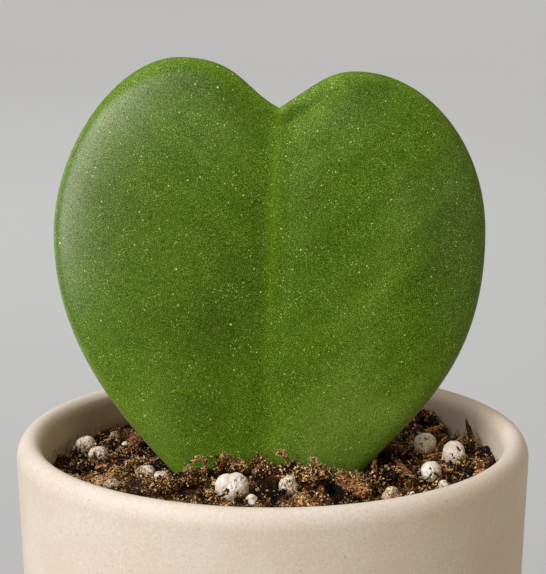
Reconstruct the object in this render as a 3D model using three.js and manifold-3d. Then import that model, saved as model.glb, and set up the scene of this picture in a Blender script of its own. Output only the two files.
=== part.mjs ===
// A heart-shaped hoya leaf, rooted in potting mix in a small round stoneware pot.
// Millimetres, +Z up. The origin is on the table under the middle of the pot, and the leaf faces -Y.
import * as THREE from "three";
import { mergeVertices } from "three/addons/utils/BufferGeometryUtils.js";
import Module from "manifold-3d";

const wasm = await Module();
wasm.setup();

// Gap between two pieces that touch
const CLEARANCE = 0.3;

// Pot: a tapered wall, a round lip, a foot ring and a drain hole
const POT_HEIGHT = 75;
const RIM_RADIUS = 40;
const TAPER = 0.039; // how much the wall narrows for each mm down
const WALL = 4;
const LIP_OUT = 2.2; // from the lip's crest to the outside
const LIP_OUT_DROP = 3;
const LIP_IN_DROP = 2.4;
const BASE_ROUND = 3;
const FLOOR_TOP = 7;
const FLOOR_FILLET = 4;
const FOOT_RECESS = 2;
const FOOT_WIDTH = 5;
const DRAIN_RADIUS = 5;
const POT_SIDES = 64;
const CURVE_STEPS = 2; // half the segments of each rounding of the profile

// Potting mix: its level, its heaps (x, y, height, spread along x, spread along y) and its crumbs
const SOIL_LEVEL = 68.5;
const HEAPS = [
  [28, 16, 1.6, 9, 9],
  [-3, -4.6, 2.5, 9, 3],
  [7, -8.3, 1.7, 2.9, 2.4],
  [18.8, -6.2, 1.5, 2.3, 2],
  [-15.4, -11, 1.3, 2.4, 2],
  [-26, 2, 0.5, 6, 6],
  [4, 9, 1.4, 8, 5],
];
const RELIEF = [
  { wave: 8.3, height: 0.7 },
  { wave: 4.3, height: 0.9 },
  { wave: 2.5, height: 0.6 },
];
const RELIEF_CELL = 1.95;
const RELIEF_SHIFT = 0.42; // how far a grid point strays, as a share of a cell
const CALM_REACH = 0.6; // the mix lies level this many diameters round a granule
const CLODS = { count: 26, smallest: 0.8, largest: 1.9 }; // radii
const LOOSE_CHIPS = { count: 9, length: [3, 6.5], width: [1.2, 2.6], thick: [0.9, 1.3], rise: 30 };
const LEAF_CLEAR = [18, 3]; // half the width and depth round the leaf's foot that loose lumps leave free

// Bark and twigs that stand out: x, y, length, width, thickness, heading and rise in degrees
const CHIPS = [
  [12, -10.8, 7.2, 4, 1.1, -52, 12],
  [20.9, 0.4, 8.4, 1.9, 1.6, -65, 6],
  [15.8, -4.2, 4.5, 1.7, 1.3, 78, 42],
  [31, 12, 6.5, 1.7, 1.0, 115, 68],
  [26.5, 20.5, 6, 2.4, 1.1, 70, 48],
  [25.4, 3.6, 4.2, 2.6, 1.0, 10, 20],
  [1.2, -5.2, 3.8, 1.5, 1.1, 112, 52],
  [6.8, -5, 3, 1.4, 1.0, 100, 45],
  [-13, -9, 4, 1.5, 1.1, 62, 24],
  [-22, 19, 7, 3, 1.2, 35, 18],
];

// Perlite granules that stand out: x, y and the diameter that the granule's lobes lie in
const GRANULES = [
  [-6.4, -13, 5.7],
  [-3.2, -15.5, 2.1],
  [2.4, -10.6, 3.4],
  [-30.6, 12, 4],
  [-28, 6, 3.5],
  [-19.8, -3.2, 3.5],
  [-17.3, -5.9, 2.7],
  [-24.7, -8, 2.9],
  [24.4, 9, 4],
  [28.8, 4.4, 4.4],
  [24.7, -3.5, 3.9],
  [26.5, -7.2, 2.2],
  [18, -13.9, 3.3],
  [21.3, -11.8, 1.7],
  [-24, 14.6, 1.7],
];
const MORE_GRANULES = { count: 8, smallest: 1.8, largest: 3.8, apart: 2.5 }; // behind the leaf
const GRANULE_SUNK = 0.25; // share of the diameter that lies under the mix
const FINE_GRANULE = 3.8; // granules over this size get more faces
const POCKET_GROWTH = 1.06; // so that a pocket's coarser faces stay clear of the granule
const LOBES = { count: 4, first: 0.86, smallest: 0.5, largest: 0.75, out: 0.44 }; // at granule radius 1

// Leaf: how it stands in the mix, and how thick it is
const LEAF_AT = [0, -1.5];
const LEAN = 5; // degrees backwards
const NOTCH = [1, 57.6];
const BLADE_FOOT = -14; // under the mix, where the blade has narrowed to its stalk
const STALK_RADIUS = 1.9;
const STALK_LENGTH = 11;
const EDGE_THICK = 2.5;
const MIDDLE_THICK = 3.7;
const EDGE_ROUND = 2.6;
const CROWN_REACH = 14; // from the margin to full thickness
const CUP = 2.2; // how far the sides stand behind the middle
const CURL = 1.1; // how far the margin itself rolls back
const CURL_REACH = 4;
const HALF_WIDTH = 33;
const VALLEY = { depth: 0.4, deeper: 0.8, width: 2.2, wider: 3.6 }; // on the midrib, most at the notch
const RIB = { height: 0.7, width: 1.5 }; // behind, fading towards the notch
const MIDRIB_START = -1.2; // where the midrib comes out of the mix
const MIDRIB_TOP = 50; // the mesh's lines start on the midrib, from here down to its foot
const MIDRIB_FOOT = -9;
const MARGIN_STEPS = 40; // on each side
const BODY_STEPS = 5; // from the midrib to where the edge's rounding starts
const EDGE_STEPS = 4;
const STALK_SIDES = 10;
const ROOTS = { count: 4, radius: 0.6, sides: 5, steps: 4, spread: [5, 9], length: [13, 19] };

// Each side of the margin: the lobe's top, the widest point, and the handles of its three arcs
const RIGHT_SIDE = {
  sign: 1,
  lobe: [12.6, 63.2],
  widest: [32.9, 37.9],
  notchHandle: [4.5, 3.1],
  lobeHandles: [4.7, 12],
  widestHandles: [13.1, 26.8],
  footHandle: [12.8, 18.6],
};
const LEFT_SIDE = {
  sign: -1,
  lobe: [14.4, 65.4],
  widest: [34.1, 37.5],
  notchHandle: [5.1, 3.1],
  lobeHandles: [9.3, 9.8],
  widestHandles: [14.1, 23.9],
  footHandle: [13.4, 14.9],
};

// A repeatable stream of numbers from 0 to 1
function seeded(seed) {
  let state = seed;
  return () => {
    state = (state * 1664525 + 1013904223) % 4294967296;
    return state / 4294967296;
  };
}

const { clamp, degToRad, lerp, smoothstep } = THREE.MathUtils;
const bell = (t) => Math.exp(-t * t);

// A repeatable number from -1 to 1 for each whole grid point
function gridValue(i, j) {
  const s = Math.sin(i * 127.1 + j * 311.7) * 43758.5453;
  return 2 * (s - Math.floor(s)) - 1;
}

// Smooth noise on the plane, from -1 to 1
function noise(x, y) {
  const i = Math.floor(x);
  const j = Math.floor(y);
  const fx = smoothstep(x - i, 0, 1);
  const fy = smoothstep(y - j, 0, 1);
  const low = lerp(gridValue(i, j), gridValue(i + 1, j), fx);
  const high = lerp(gridValue(i, j + 1), gridValue(i + 1, j + 1), fx);
  return lerp(low, high, fy);
}

// Solids for joining and cutting. Points this close are one.
const SAME_POINT = 1e-3;

function solidOf(geometry) {
  const bare = geometry.clone();
  bare.deleteAttribute("normal");
  bare.deleteAttribute("uv");
  const merged = mergeVertices(bare, SAME_POINT);
  return new wasm.Manifold(
    new wasm.Mesh({
      numProp: 3,
      vertProperties: new Float32Array(merged.attributes.position.array),
      triVerts: new Uint32Array(merged.index.array),
    }),
  );
}

function geometryOf(solid) {
  const mesh = solid.getMesh();
  const geometry = new THREE.BufferGeometry();
  geometry.setAttribute("position", new THREE.BufferAttribute(mesh.vertProperties, 3));
  geometry.setIndex(new THREE.BufferAttribute(mesh.triVerts, 1));
  geometry.computeVertexNormals();
  return geometry;
}

function joined(geometries) {
  return geometries.map(solidOf).reduce((whole, next) => whole.add(next));
}

// The largest piece of a solid: loose scraps, and those that hang on by one point, are dropped
function largest(solid) {
  const pieces = solidOf(geometryOf(solid)).decompose();
  return pieces.reduce((a, b) => (b.volume() > a.volume() ? b : a));
}

// A revolved profile, stood up along Z
function turned(points, sides) {
  return new THREE.LatheGeometry(points, sides).rotateX(Math.PI / 2);
}

// A round rod along a curve
function rod(points, radius, sides, steps) {
  const section = new THREE.Shape();
  for (let k = 0; k < sides; k++) {
    const turn = (2 * Math.PI * k) / sides;
    const corner = [radius * Math.cos(turn), radius * Math.sin(turn)];
    if (k === 0) section.moveTo(...corner);
    else section.lineTo(...corner);
  }
  return new THREE.ExtrudeGeometry(section, {
    steps,
    bevelEnabled: false,
    extrudePath: new THREE.CatmullRomCurve3(points),
  });
}

// Pot

const baseRadius = RIM_RADIUS - TAPER * (POT_HEIGHT - LIP_OUT_DROP);
const crestRadius = RIM_RADIUS - LIP_OUT;

// Radius of the pot's inner wall at a height
function innerRadius(z) {
  return RIM_RADIUS - WALL - TAPER * (POT_HEIGHT - LIP_IN_DROP - z);
}

function potGeometry() {
  const outline = new THREE.Path();
  const roundCentre = baseRadius + TAPER * BASE_ROUND - BASE_ROUND;
  const footInner = roundCentre - FOOT_WIDTH;
  const filletTop = FLOOR_TOP + FLOOR_FILLET;
  const filletCentre = innerRadius(filletTop) - FLOOR_FILLET;
  outline.moveTo(DRAIN_RADIUS, FOOT_RECESS);
  outline.lineTo(footInner - FOOT_RECESS / 2, FOOT_RECESS);
  outline.lineTo(footInner, 0);
  outline.absellipse(roundCentre, BASE_ROUND, BASE_ROUND, BASE_ROUND, -Math.PI / 2, 0, false);
  const lipFoot = POT_HEIGHT - LIP_OUT_DROP;
  outline.absellipse(crestRadius, lipFoot, LIP_OUT, LIP_OUT_DROP, 0, Math.PI / 2, false);
  const lipInside = POT_HEIGHT - LIP_IN_DROP;
  const inward = WALL - LIP_OUT;
  outline.absellipse(crestRadius, lipInside, inward, LIP_IN_DROP, Math.PI / 2, Math.PI, false);
  outline.lineTo(innerRadius(filletTop), filletTop);
  outline.absellipse(filletCentre, filletTop, FLOOR_FILLET, FLOOR_FILLET, 0, -Math.PI / 2, true);
  outline.lineTo(DRAIN_RADIUS, FLOOR_TOP);
  outline.lineTo(DRAIN_RADIUS, FOOT_RECESS);
  return turned(outline.getPoints(CURVE_STEPS), POT_SIDES);
}

// Potting mix

// Height of the mix with its heaps but without its rough relief
function heapedHeight(x, y) {
  let z = SOIL_LEVEL;
  for (const [cx, cy, height, alongX, alongY] of HEAPS) {
    z += height * Math.exp(-(((x - cx) / alongX) ** 2 + ((y - cy) / alongY) ** 2) / 2);
  }
  return z;
}

// Height of the rough mix, which lies level round each granule
function soilHeight(x, y) {
  let calm = 1;
  for (const [gx, gy, size] of granules) {
    calm *= 1 - bell(Math.hypot(x - gx, y - gy) / (CALM_REACH * size + CLEARANCE));
  }
  let rough = 0;
  for (const { wave, height } of RELIEF) {
    rough += height * noise(x / wave + 7 * wave, y / wave - 3 * wave);
  }
  return heapedHeight(x, y) + calm * rough;
}

// The room in the pot, up to a flat top above all crumbs
function potRoom() {
  const outline = new THREE.Path();
  const bottom = FLOOR_TOP + CLEARANCE;
  const round = FLOOR_FILLET;
  const wallFoot = bottom + round;
  const radiusAt = (z) => innerRadius(z) - CLEARANCE;
  outline.moveTo(0, bottom);
  outline.lineTo(radiusAt(wallFoot) - round, bottom);
  outline.absellipse(radiusAt(wallFoot) - round, wallFoot, round, round, -Math.PI / 2, 0, false);
  outline.lineTo(radiusAt(POT_HEIGHT - LIP_IN_DROP), POT_HEIGHT - LIP_IN_DROP);
  outline.lineTo(radiusAt(POT_HEIGHT - LIP_IN_DROP), POT_HEIGHT);
  outline.lineTo(0, POT_HEIGHT);
  return turned(outline.getPoints(CURVE_STEPS), POT_SIDES);
}

// A block whose top face carries the relief
function reliefBlock() {
  const side = 2 * RIM_RADIUS;
  const cells = Math.round(side / RELIEF_CELL);
  const block = new THREE.BoxGeometry(side, side, POT_HEIGHT, cells, cells, 1);
  const at = block.attributes.position;
  for (let k = 0; k < at.count; k++) {
    const x = at.getX(k);
    const y = at.getY(k);
    const onTop = at.getZ(k) > 0;
    const shift = onTop ? RELIEF_SHIFT * RELIEF_CELL : 0;
    const strayX = x + shift * noise(x * 1.7, y * 1.7 + 40);
    const strayY = y + shift * noise(x * 1.7 - 60, y * 1.7);
    at.setXYZ(k, strayX, strayY, onTop ? soilHeight(strayX, strayY) : 0);
  }
  return block;
}

// True where a lump of this radius would touch the leaf
function nearLeaf(x, y, radius) {
  const [halfWidth, halfDepth] = LEAF_CLEAR;
  return Math.abs(x) < halfWidth + radius && Math.abs(y - LEAF_AT[1]) < halfDepth + radius;
}

// A random place on the mix, with room for a lump of this radius
function placeOnMix(radius, random, from = 0, to = 2 * Math.PI) {
  const away = (innerRadius(SOIL_LEVEL) - radius - 1) * Math.sqrt(random());
  const turn = lerp(from, to, random());
  return [away * Math.cos(turn), away * Math.sin(turn)];
}

function clodGeometry(random) {
  const radius = lerp(CLODS.smallest, CLODS.largest, random());
  const [x, y] = placeOnMix(radius, random);
  if (nearLeaf(x, y, radius)) return clodGeometry(random);
  const clod = new THREE.IcosahedronGeometry(radius, 0);
  clod.scale(1.1 + 0.4 * random(), 1, 0.7 + 0.3 * random());
  clod.rotateZ(2 * Math.PI * random());
  return clod.translate(x, y, soilHeight(x, y) + 0.1 * radius);
}

// A splinter of bark with one pointed end, its low end sunk in the mix
function chipGeometry([x, y, length, width, thick, heading, rise]) {
  const half = width / 2;
  const outline = new THREE.Shape();
  outline.moveTo(0, -half);
  outline.lineTo(0.62 * length, -0.8 * half);
  outline.lineTo(length, -0.2 * half);
  outline.lineTo(0.9 * length, 0.45 * half);
  outline.lineTo(0.4 * length, half);
  outline.lineTo(-0.08 * length, 0.55 * half);
  const chip = new THREE.ExtrudeGeometry(outline, { depth: thick, bevelEnabled: false });
  chip.translate(-0.35 * length, 0, -thick / 2);
  chip.rotateX(0.35);
  chip.rotateY(-degToRad(rise));
  chip.rotateZ(degToRad(heading));
  return chip.translate(x, y, soilHeight(x, y) + 0.12 * length * Math.sin(degToRad(rise)));
}

function looseChip(random) {
  const [length, width, thick] = [LOOSE_CHIPS.length, LOOSE_CHIPS.width, LOOSE_CHIPS.thick].map(
    ([least, most]) => lerp(least, most, random()),
  );
  const [x, y] = placeOnMix(length, random);
  if (nearLeaf(x, y, length)) return looseChip(random);
  return chipGeometry([x, y, length, width, thick, 360 * random(), LOOSE_CHIPS.rise * random()]);
}

// Perlite: popped granules, each the outer form of a few round lobes

function granuleLobes(random) {
  const lobes = [{ size: LOBES.first, off: new THREE.Vector3() }];
  while (lobes.length < LOBES.count) {
    const size = lerp(LOBES.smallest, LOBES.largest, random());
    const off = new THREE.Vector3(random() - 0.5, random() - 0.5, random() - 0.5);
    lobes.push({ size, off: off.setLength(Math.min(LOBES.out, size - 0.1)) });
  }
  return lobes;
}

// How far the granule's skin is from its middle in a direction, for a granule of radius 1
function lobeReach(direction, lobes) {
  let reach = 0;
  for (const { size, off } of lobes) {
    const along = direction.dot(off);
    reach = Math.max(reach, along + Math.sqrt(along ** 2 + size ** 2 - off.lengthSq()));
  }
  return reach;
}

function granuleGeometry(radius, lobes, grow, detail) {
  const granule = new THREE.IcosahedronGeometry(1, detail);
  const at = granule.attributes.position;
  const direction = new THREE.Vector3();
  for (let k = 0; k < at.count; k++) {
    direction.fromBufferAttribute(at, k).normalize();
    const reach = radius * lobeReach(direction, lobes) + grow;
    at.setXYZ(k, reach * direction.x, reach * direction.y, reach * direction.z);
  }
  return granule;
}

// Granules in the back half, out of the places that show from the front beside the leaf
function moreGranules(taken, random) {
  const { count, smallest, largest, apart } = MORE_GRANULES;
  const [halfWidth] = LEAF_CLEAR;
  const added = [];
  while (added.length < count) {
    const size = lerp(smallest, largest, random() ** 2);
    const [x, y] = placeOnMix(size / 2, random, 0, Math.PI);
    const beside = Math.abs(x) > halfWidth && y < halfWidth;
    const clear = ([gx, gy, other]) => Math.hypot(x - gx, y - gy) > (size + other) / 2 + apart;
    if (beside || nearLeaf(x, y, size / 2 + 1)) continue;
    if ([...taken, ...added].every(clear)) added.push([x, y, size]);
  }
  return added;
}

// Leaf

// One side of the margin from the notch to the stalk, in the leaf's own plane
function marginSide(side) {
  const { sign, lobe, widest, notchHandle, lobeHandles, widestHandles, footHandle } = side;
  const at = (x, z) => new THREE.Vector2(x, z);
  const notch = at(...NOTCH);
  const top = at(sign * lobe[0], lobe[1]);
  const wide = at(sign * widest[0], widest[1]);
  const foot = at(sign * STALK_RADIUS, BLADE_FOOT);
  const path = new THREE.CurvePath();
  path.add(
    new THREE.CubicBezierCurve(
      notch,
      at(notch.x + sign * notchHandle[0], notch.y + notchHandle[1]),
      at(top.x - sign * lobeHandles[0], top.y),
      top,
    ),
  );
  path.add(
    new THREE.CubicBezierCurve(
      top,
      at(top.x + sign * lobeHandles[1], top.y),
      at(wide.x, wide.y + widestHandles[0]),
      wide,
    ),
  );
  path.add(
    new THREE.CubicBezierCurve(
      wide,
      at(wide.x, wide.y - widestHandles[1]),
      at(foot.x + sign * footHandle[0], foot.y + footHandle[1]),
      foot,
    ),
  );
  return [...path.getSpacedPoints(MARGIN_STEPS), at(0, BLADE_FOOT - 1)];
}

function marginDistance(point, margin) {
  let nearest = Infinity;
  for (let k = 0; k + 1 < margin.length; k++) {
    const edge = margin[k + 1].clone().sub(margin[k]);
    const along = point.clone().sub(margin[k]);
    const share = clamp(along.dot(edge) / edge.lengthSq(), 0, 1);
    nearest = Math.min(nearest, along.addScaledVector(edge, -share).length());
  }
  return nearest;
}

// Half the leaf's thickness at a distance from its margin
function halfThickness(distance) {
  const rounding = Math.sqrt(1 - (1 - Math.min(distance / EDGE_ROUND, 1)) ** 2);
  const crown = smoothstep(distance, 0, CROWN_REACH);
  return 0.5 * (EDGE_THICK * rounding + (MIDDLE_THICK - EDGE_THICK) * crown);
}

// How far the middle of the leaf's thickness stands back
function bladeBend(x, distance) {
  return CUP * (x / HALF_WIDTH) ** 2 + CURL * Math.exp(-distance / CURL_REACH);
}

// How far up the midrib a height is, from 0 at the mix to 1 at the notch
const midribShare = (z) => clamp(z / NOTCH[1], 0, 1);

const midribX = (z) => lerp(MIDRIB_START, NOTCH[0], midribShare(z));

function valleyDepth(x, z, distance) {
  const up = midribShare(z) ** 2;
  const fade = Math.min(distance / EDGE_ROUND, 1);
  const depth = fade * (VALLEY.depth + VALLEY.deeper * up);
  return depth * bell((x - midribX(z)) / (VALLEY.width + VALLEY.wider * up));
}

function ribHeight(x, z, distance) {
  const fade = Math.min(distance / EDGE_ROUND, 1) * (1 - midribShare(z));
  return RIB.height * fade * bell((x - midribX(z)) / RIB.width);
}

// Where the points lie on a line from the midrib to the margin: close together at both ends
function lineShares(length) {
  const edge = Math.min(EDGE_ROUND / length, 0.5);
  const body = Array.from({ length: BODY_STEPS + 1 }, (_, k) => (1 - edge) * (k / BODY_STEPS) ** 1.4);
  const rounding = Array.from({ length: EDGE_STEPS }, (_, k) => {
    return 1 - edge * (1 - Math.sin((Math.PI * (k + 1)) / (2 * EDGE_STEPS)));
  });
  return [...body, ...rounding];
}

// One quarter of the blade's skin: a side of the front or of the back, as rows of points
function bladeRows(side, back, margins, grow) {
  const margin = margins[side];
  return margin.map((edge, k) => {
    const z = lerp(MIDRIB_TOP, MIDRIB_FOOT, k / (margin.length - 1));
    const start = new THREE.Vector2(midribX(z), z);
    const length = start.distanceTo(edge);
    return lineShares(length).map((share) => {
      const point = start.clone().lerp(edge, share);
      const distance = Math.min(...margins.map((line) => marginDistance(point, line)));
      const half = halfThickness(distance) + (share < 1 ? grow : 0);
      const bend = bladeBend(point.x, distance);
      const surface = back
        ? bend + half + ribHeight(point.x, point.y, distance)
        : bend - half + valleyDepth(point.x, point.y, distance);
      point.lerp(start, (-1.4 * grow * share) / length);
      return new THREE.Vector3(point.x, surface, point.y);
    });
  });
}

function bladeGeometry(grow) {
  const margins = [marginSide(RIGHT_SIDE), marginSide(LEFT_SIDE)];
  const corners = [];
  for (const side of [0, 1]) {
    for (const back of [false, true]) {
      const rows = bladeRows(side, back, margins, grow);
      const mirrored = (side === 1) !== back;
      for (let i = 0; i + 1 < rows.length; i++) {
        for (let j = 0; j + 1 < rows[i].length; j++) {
          const quad = [rows[i][j], rows[i + 1][j], rows[i + 1][j + 1], rows[i][j + 1]];
          if (mirrored) quad.reverse();
          corners.push(quad[0], quad[1], quad[2], quad[0], quad[2], quad[3]);
        }
      }
    }
  }
  return new THREE.BufferGeometry().setFromPoints(corners);
}

function rootGeometry(turn, spread, length, grow) {
  const start = BLADE_FOOT - STALK_LENGTH + 1;
  const at = (out, down) => {
    const away = out * spread;
    return new THREE.Vector3(away * Math.cos(turn), away * Math.sin(turn), start - down * length);
  };
  const tip = at(1, 1);
  tip.z -= grow;
  const path = [at(0, 0), at(0.35, 0.3), at(0.8, 0.62), tip];
  return rod(path, ROOTS.radius + grow, ROOTS.sides, ROOTS.steps);
}

function stalkGeometry(grow) {
  const behind = bladeBend(0, STALK_RADIUS);
  const path = [
    new THREE.Vector3(0, behind, BLADE_FOOT + 5),
    new THREE.Vector3(0, behind / 2, BLADE_FOOT - STALK_LENGTH / 2),
    new THREE.Vector3(0, 0, BLADE_FOOT - STALK_LENGTH - grow),
  ];
  return rod(path, STALK_RADIUS + grow, STALK_SIDES, path.length);
}

// The whole leaf with its stalk and roots. grow makes the plain hole that it stands in.
function leafSolid(grow) {
  const random = seeded(7);
  const roots = Array.from({ length: ROOTS.count }, (_, k) => {
    const turn = (2 * Math.PI * (k + 0.3 * random())) / ROOTS.count;
    return rootGeometry(turn, lerp(...ROOTS.spread, random()), lerp(...ROOTS.length, random()), grow);
  });
  return joined([bladeGeometry(grow), stalkGeometry(grow), ...roots]);
}

function standInMix(object) {
  object.position.set(LEAF_AT[0], LEAF_AT[1], SOIL_LEVEL);
  object.rotation.x = -degToRad(LEAN);
  return object;
}

// Materials

const stoneware = new THREE.MeshStandardMaterial({ color: "#e4d6c4", roughness: 0.75 });
const mix = new THREE.MeshStandardMaterial({ color: "#4a3423", roughness: 0.95 });
const leafGreen = new THREE.MeshStandardMaterial({ color: "#4d6c1e", roughness: 0.45 });
const perlite = new THREE.MeshStandardMaterial({ color: "#dcd3c6", roughness: 0.9 });

function named(name, geometry, material) {
  const mesh = new THREE.Mesh(geometry, material);
  mesh.name = name;
  return mesh;
}

// Assembly

const granules = [...GRANULES, ...moreGranules(GRANULES, seeded(21))];
const plant = new THREE.Group();
plant.add(named("pot", potGeometry(), stoneware));

const pockets = [];
granules.forEach(([x, y, size], k) => {
  const lobes = granuleLobes(seeded(300 + k));
  const z = heapedHeight(x, y) + (0.5 - GRANULE_SUNK) * size;
  const detail = size > FINE_GRANULE ? 2 : 1;
  const granule = granuleGeometry(size / 2, lobes, 0, detail);
  const mesh = named(`perlite_${String(k + 1).padStart(2, "0")}`, granule, perlite);
  mesh.position.set(x, y, z);
  plant.add(mesh);
  const pocket = granuleGeometry((POCKET_GROWTH * size) / 2, lobes, CLEARANCE, 1);
  pockets.push(solidOf(pocket.translate(x, y, z)));
});

const leaf = standInMix(named("leaf", geometryOf(leafSolid(0)), leafGreen));
plant.add(leaf);

const leafHole = standInMix(new THREE.Object3D());
leafHole.updateMatrix();
const holeGeometry = geometryOf(leafSolid(CLEARANCE)).applyMatrix4(leafHole.matrix);
const scatter = seeded(5);
const crumbs = [
  ...Array.from({ length: CLODS.count }, () => clodGeometry(scatter)),
  ...CHIPS.map(chipGeometry),
  ...Array.from({ length: LOOSE_CHIPS.count }, () => looseChip(scatter)),
];
let soil = joined([reliefBlock(), ...crumbs]).intersect(solidOf(potRoom()));
soil = soil.subtract(solidOf(holeGeometry));
for (const pocket of pockets) soil = soil.subtract(pocket);
plant.add(named("soil", geometryOf(largest(soil)), mix));

export default plant;
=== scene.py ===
import math

import bmesh
import bpy
import numpy as np
from mathutils import Euler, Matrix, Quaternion, Vector


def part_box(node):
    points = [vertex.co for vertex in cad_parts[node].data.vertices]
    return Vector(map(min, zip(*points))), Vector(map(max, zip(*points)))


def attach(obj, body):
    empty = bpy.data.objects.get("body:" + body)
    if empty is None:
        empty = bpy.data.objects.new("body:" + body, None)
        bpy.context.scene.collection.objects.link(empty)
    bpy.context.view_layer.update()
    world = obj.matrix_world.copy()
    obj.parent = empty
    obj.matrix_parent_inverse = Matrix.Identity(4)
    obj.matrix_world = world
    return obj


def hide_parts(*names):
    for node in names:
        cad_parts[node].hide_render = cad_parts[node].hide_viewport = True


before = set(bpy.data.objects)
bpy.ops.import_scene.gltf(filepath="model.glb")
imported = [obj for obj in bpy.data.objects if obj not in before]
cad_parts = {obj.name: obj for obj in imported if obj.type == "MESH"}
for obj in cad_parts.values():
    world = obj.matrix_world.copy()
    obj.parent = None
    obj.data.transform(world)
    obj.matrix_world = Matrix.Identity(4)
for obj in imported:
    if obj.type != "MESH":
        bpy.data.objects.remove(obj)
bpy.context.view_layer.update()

# Looks of the potted hoya: a fleshy heart-shaped leaf in rough potting mix, in a pale stoneware pot.
# Sizes are in millimetres, in the part's frame, and MM brings them to Blender's metres.
MM = 0.001
BODY = "root"
SEEDS = {"leaf": 7, "crumbs": 11, "clods": 17, "grit": 19, "bark": 23, "fibres": 31, "granules": 99}

# Pot
POT_HEIGHT = 75
RIM_RADIUS = 40
TAPER = 0.039
WALL = 4
LIP_OUT = 2.2
LIP_OUT_DROP = 3
LIP_IN_DROP = 2.4
BASE_ROUND = 3
FLOOR_TOP = 7
FLOOR_FILLET = 4
FOOT_RECESS = 2
FOOT_WIDTH = 5
DRAIN_RADIUS = 5
POT_SIDES = 240
ARC_STEPS = 10
CRISP = 0.3  # how near a corner the shading of a flat face ends
WALL_GAP = 0.06  # between the mix and the wall
LIP_FOOT = 71.5  # where the damp stain and painted shade of the lip begin

# Potting mix: level, heaps (x, y, height, spread along x and y) and rough relief (wave, height)
SOIL_LEVEL = 68.5
HEAPS = [
    (28, 16, 1.1, 9, 9),
    (-3, -4.6, 2.5, 9, 3),
    (7, -8.3, 1.7, 2.9, 2.4),
    (18.8, -6.2, 1.5, 2.3, 2),
    (-15.4, -11, 1.3, 2.4, 2),
    (-26, 2, 0.5, 6, 6),
    (4, 9, 1.4, 8, 5),
]
RELIEF = [(8.3, 0.7), (4.3, 0.9), (2.5, 0.6)]
FINE_RELIEF = [(1.5, 0.5), (0.8, 0.34), (0.5, 0.2)]
BED_DROP = 0.55  # below the mean level, to leave room for the crumbs
# Hollows: x, y, depth, spread
HOLLOWS = [(9.6, -10.7, 2.4, 0.95), (17.6, 2.2, 2.6, 3.2), (-9.4, -4.8, 1.2, 0.9)]
# Painted shade on the mix, in its cavities and in the leaf's shadow, and paler where the strength is below 0:
# x, y, spread, strength
SHADES = [
    (9.6, -10.3, 1.4, 1.1), (17.4, 2.4, 3.4, 0.8), (-9.4, -4.6, 1.2, 0.4),
    (-14.5, -15.5, 4, -0.42), (3, -16.5, 4.5, -0.2), (-27, -6, 5, -0.25),
]
CALM_REACH = 0.6  # how far the bed lies level round a granule, as a share of its size
BED_CELLS = 220

# Leaf
LEAF_AT = (0, -1.5)
LEAN = math.radians(5)
NOTCH = (1, 57.6)
BLADE_FOOT = -14
STALK_RADIUS = 1.9
STALK_LENGTH = 11
ROOTS = 4
EDGE_THICK = 2.5
MIDDLE_THICK = 3.7
EDGE_ROUND = 2.6
CROWN_REACH = 14
CUP = 2.2
CURL = 1.4
CURL_REACH = 4.6
HALF_WIDTH = 33
VALLEY_DEPTH = (0.4, 0.8)  # along the midrib, and what the notch adds
VALLEY_WIDTH = (2.2, 3.6)
RIB_HEIGHT = 0.7
RIB_WIDTH = 1.5
MIDRIB_START = -1.2
MIDRIB_TOP = 50
MIDRIB_FOOT = -9
MARGIN_STEPS = 200
BODY_STEPS = 30
EDGE_STEPS = 10
WELD_REACH = 0.001
RIGHT_SIDE = {
    "sign": 1,
    "lobe": (12.6, 63.2),
    "widest": (33.2, 37.9),
    "notch_handle": (4.9, 3.1),
    "lobe_handles": (4.1, 11.4),
    "widest_handles": (13.8, 27.5),
    "foot_handle": (14.0, 20.9),
}
LEFT_SIDE = {
    "sign": -1,
    "lobe": (14.4, 65.4),
    "widest": (34.2, 37.4),
    "notch_handle": (5.5, 2.9),
    "lobe_handles": (9.3, 9.3),
    "widest_handles": (14.2, 23.4),
    "foot_handle": (13.3, 14.8),
}


# Numbers

def random_for(name, number=0):
    return np.random.default_rng(SEEDS[name] + number)


def lerp(a, b, t):
    return a + (b - a) * t


def smoothstep(t):
    t = np.clip(t, 0, 1)
    return t * t * (3 - 2 * t)


def bell(t):
    return np.exp(-t * t)


def grid_value(i, j):
    s = np.sin(i * 127.1 + j * 311.7) * 43758.5453
    return 2 * (s - np.floor(s)) - 1


def noise(x, y):
    """Smooth noise on the plane, from -1 to 1."""
    i, j = np.floor(x), np.floor(y)
    fx, fy = smoothstep(x - i), smoothstep(y - j)
    low = lerp(grid_value(i, j), grid_value(i + 1, j), fx)
    high = lerp(grid_value(i, j + 1), grid_value(i + 1, j + 1), fx)
    return lerp(low, high, fy)


def noise_3d(points, wave, seed):
    """Smooth noise in space, from -1 to 1, for points in millimetres."""
    p = points / wave + seed * 17.3
    cell = np.floor(p)
    f = smoothstep(p - cell)
    total = np.zeros(len(points))
    for corner in np.ndindex(2, 2, 2):
        i, j, k = (cell + corner).T
        value = grid_value(i + 57.3 * k, j - 31.9 * k)
        weight = np.prod(np.where(corner, f, 1 - f), axis=1)
        total += weight * value
    return total


# Meshes

def unit(ways):
    return ways / np.linalg.norm(ways, axis=-1, keepdims=True)


def triangles(grid, flip=False):
    """Two triangles for each cell of a grid of point numbers."""
    a, b, c, d = (s.ravel() for s in (grid[:-1, :-1], grid[1:, :-1], grid[1:, 1:], grid[:-1, 1:]))
    faces = np.concatenate([np.stack([a, b, c], 1), np.stack([a, c, d], 1)])
    return faces[:, ::-1] if flip else faces


def ring_grid(rows, around):
    """Point numbers in rows that each close on themselves."""
    return np.pad(np.arange(rows * around).reshape(rows, around), ((0, 0), (0, 1)), mode="wrap")


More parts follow.
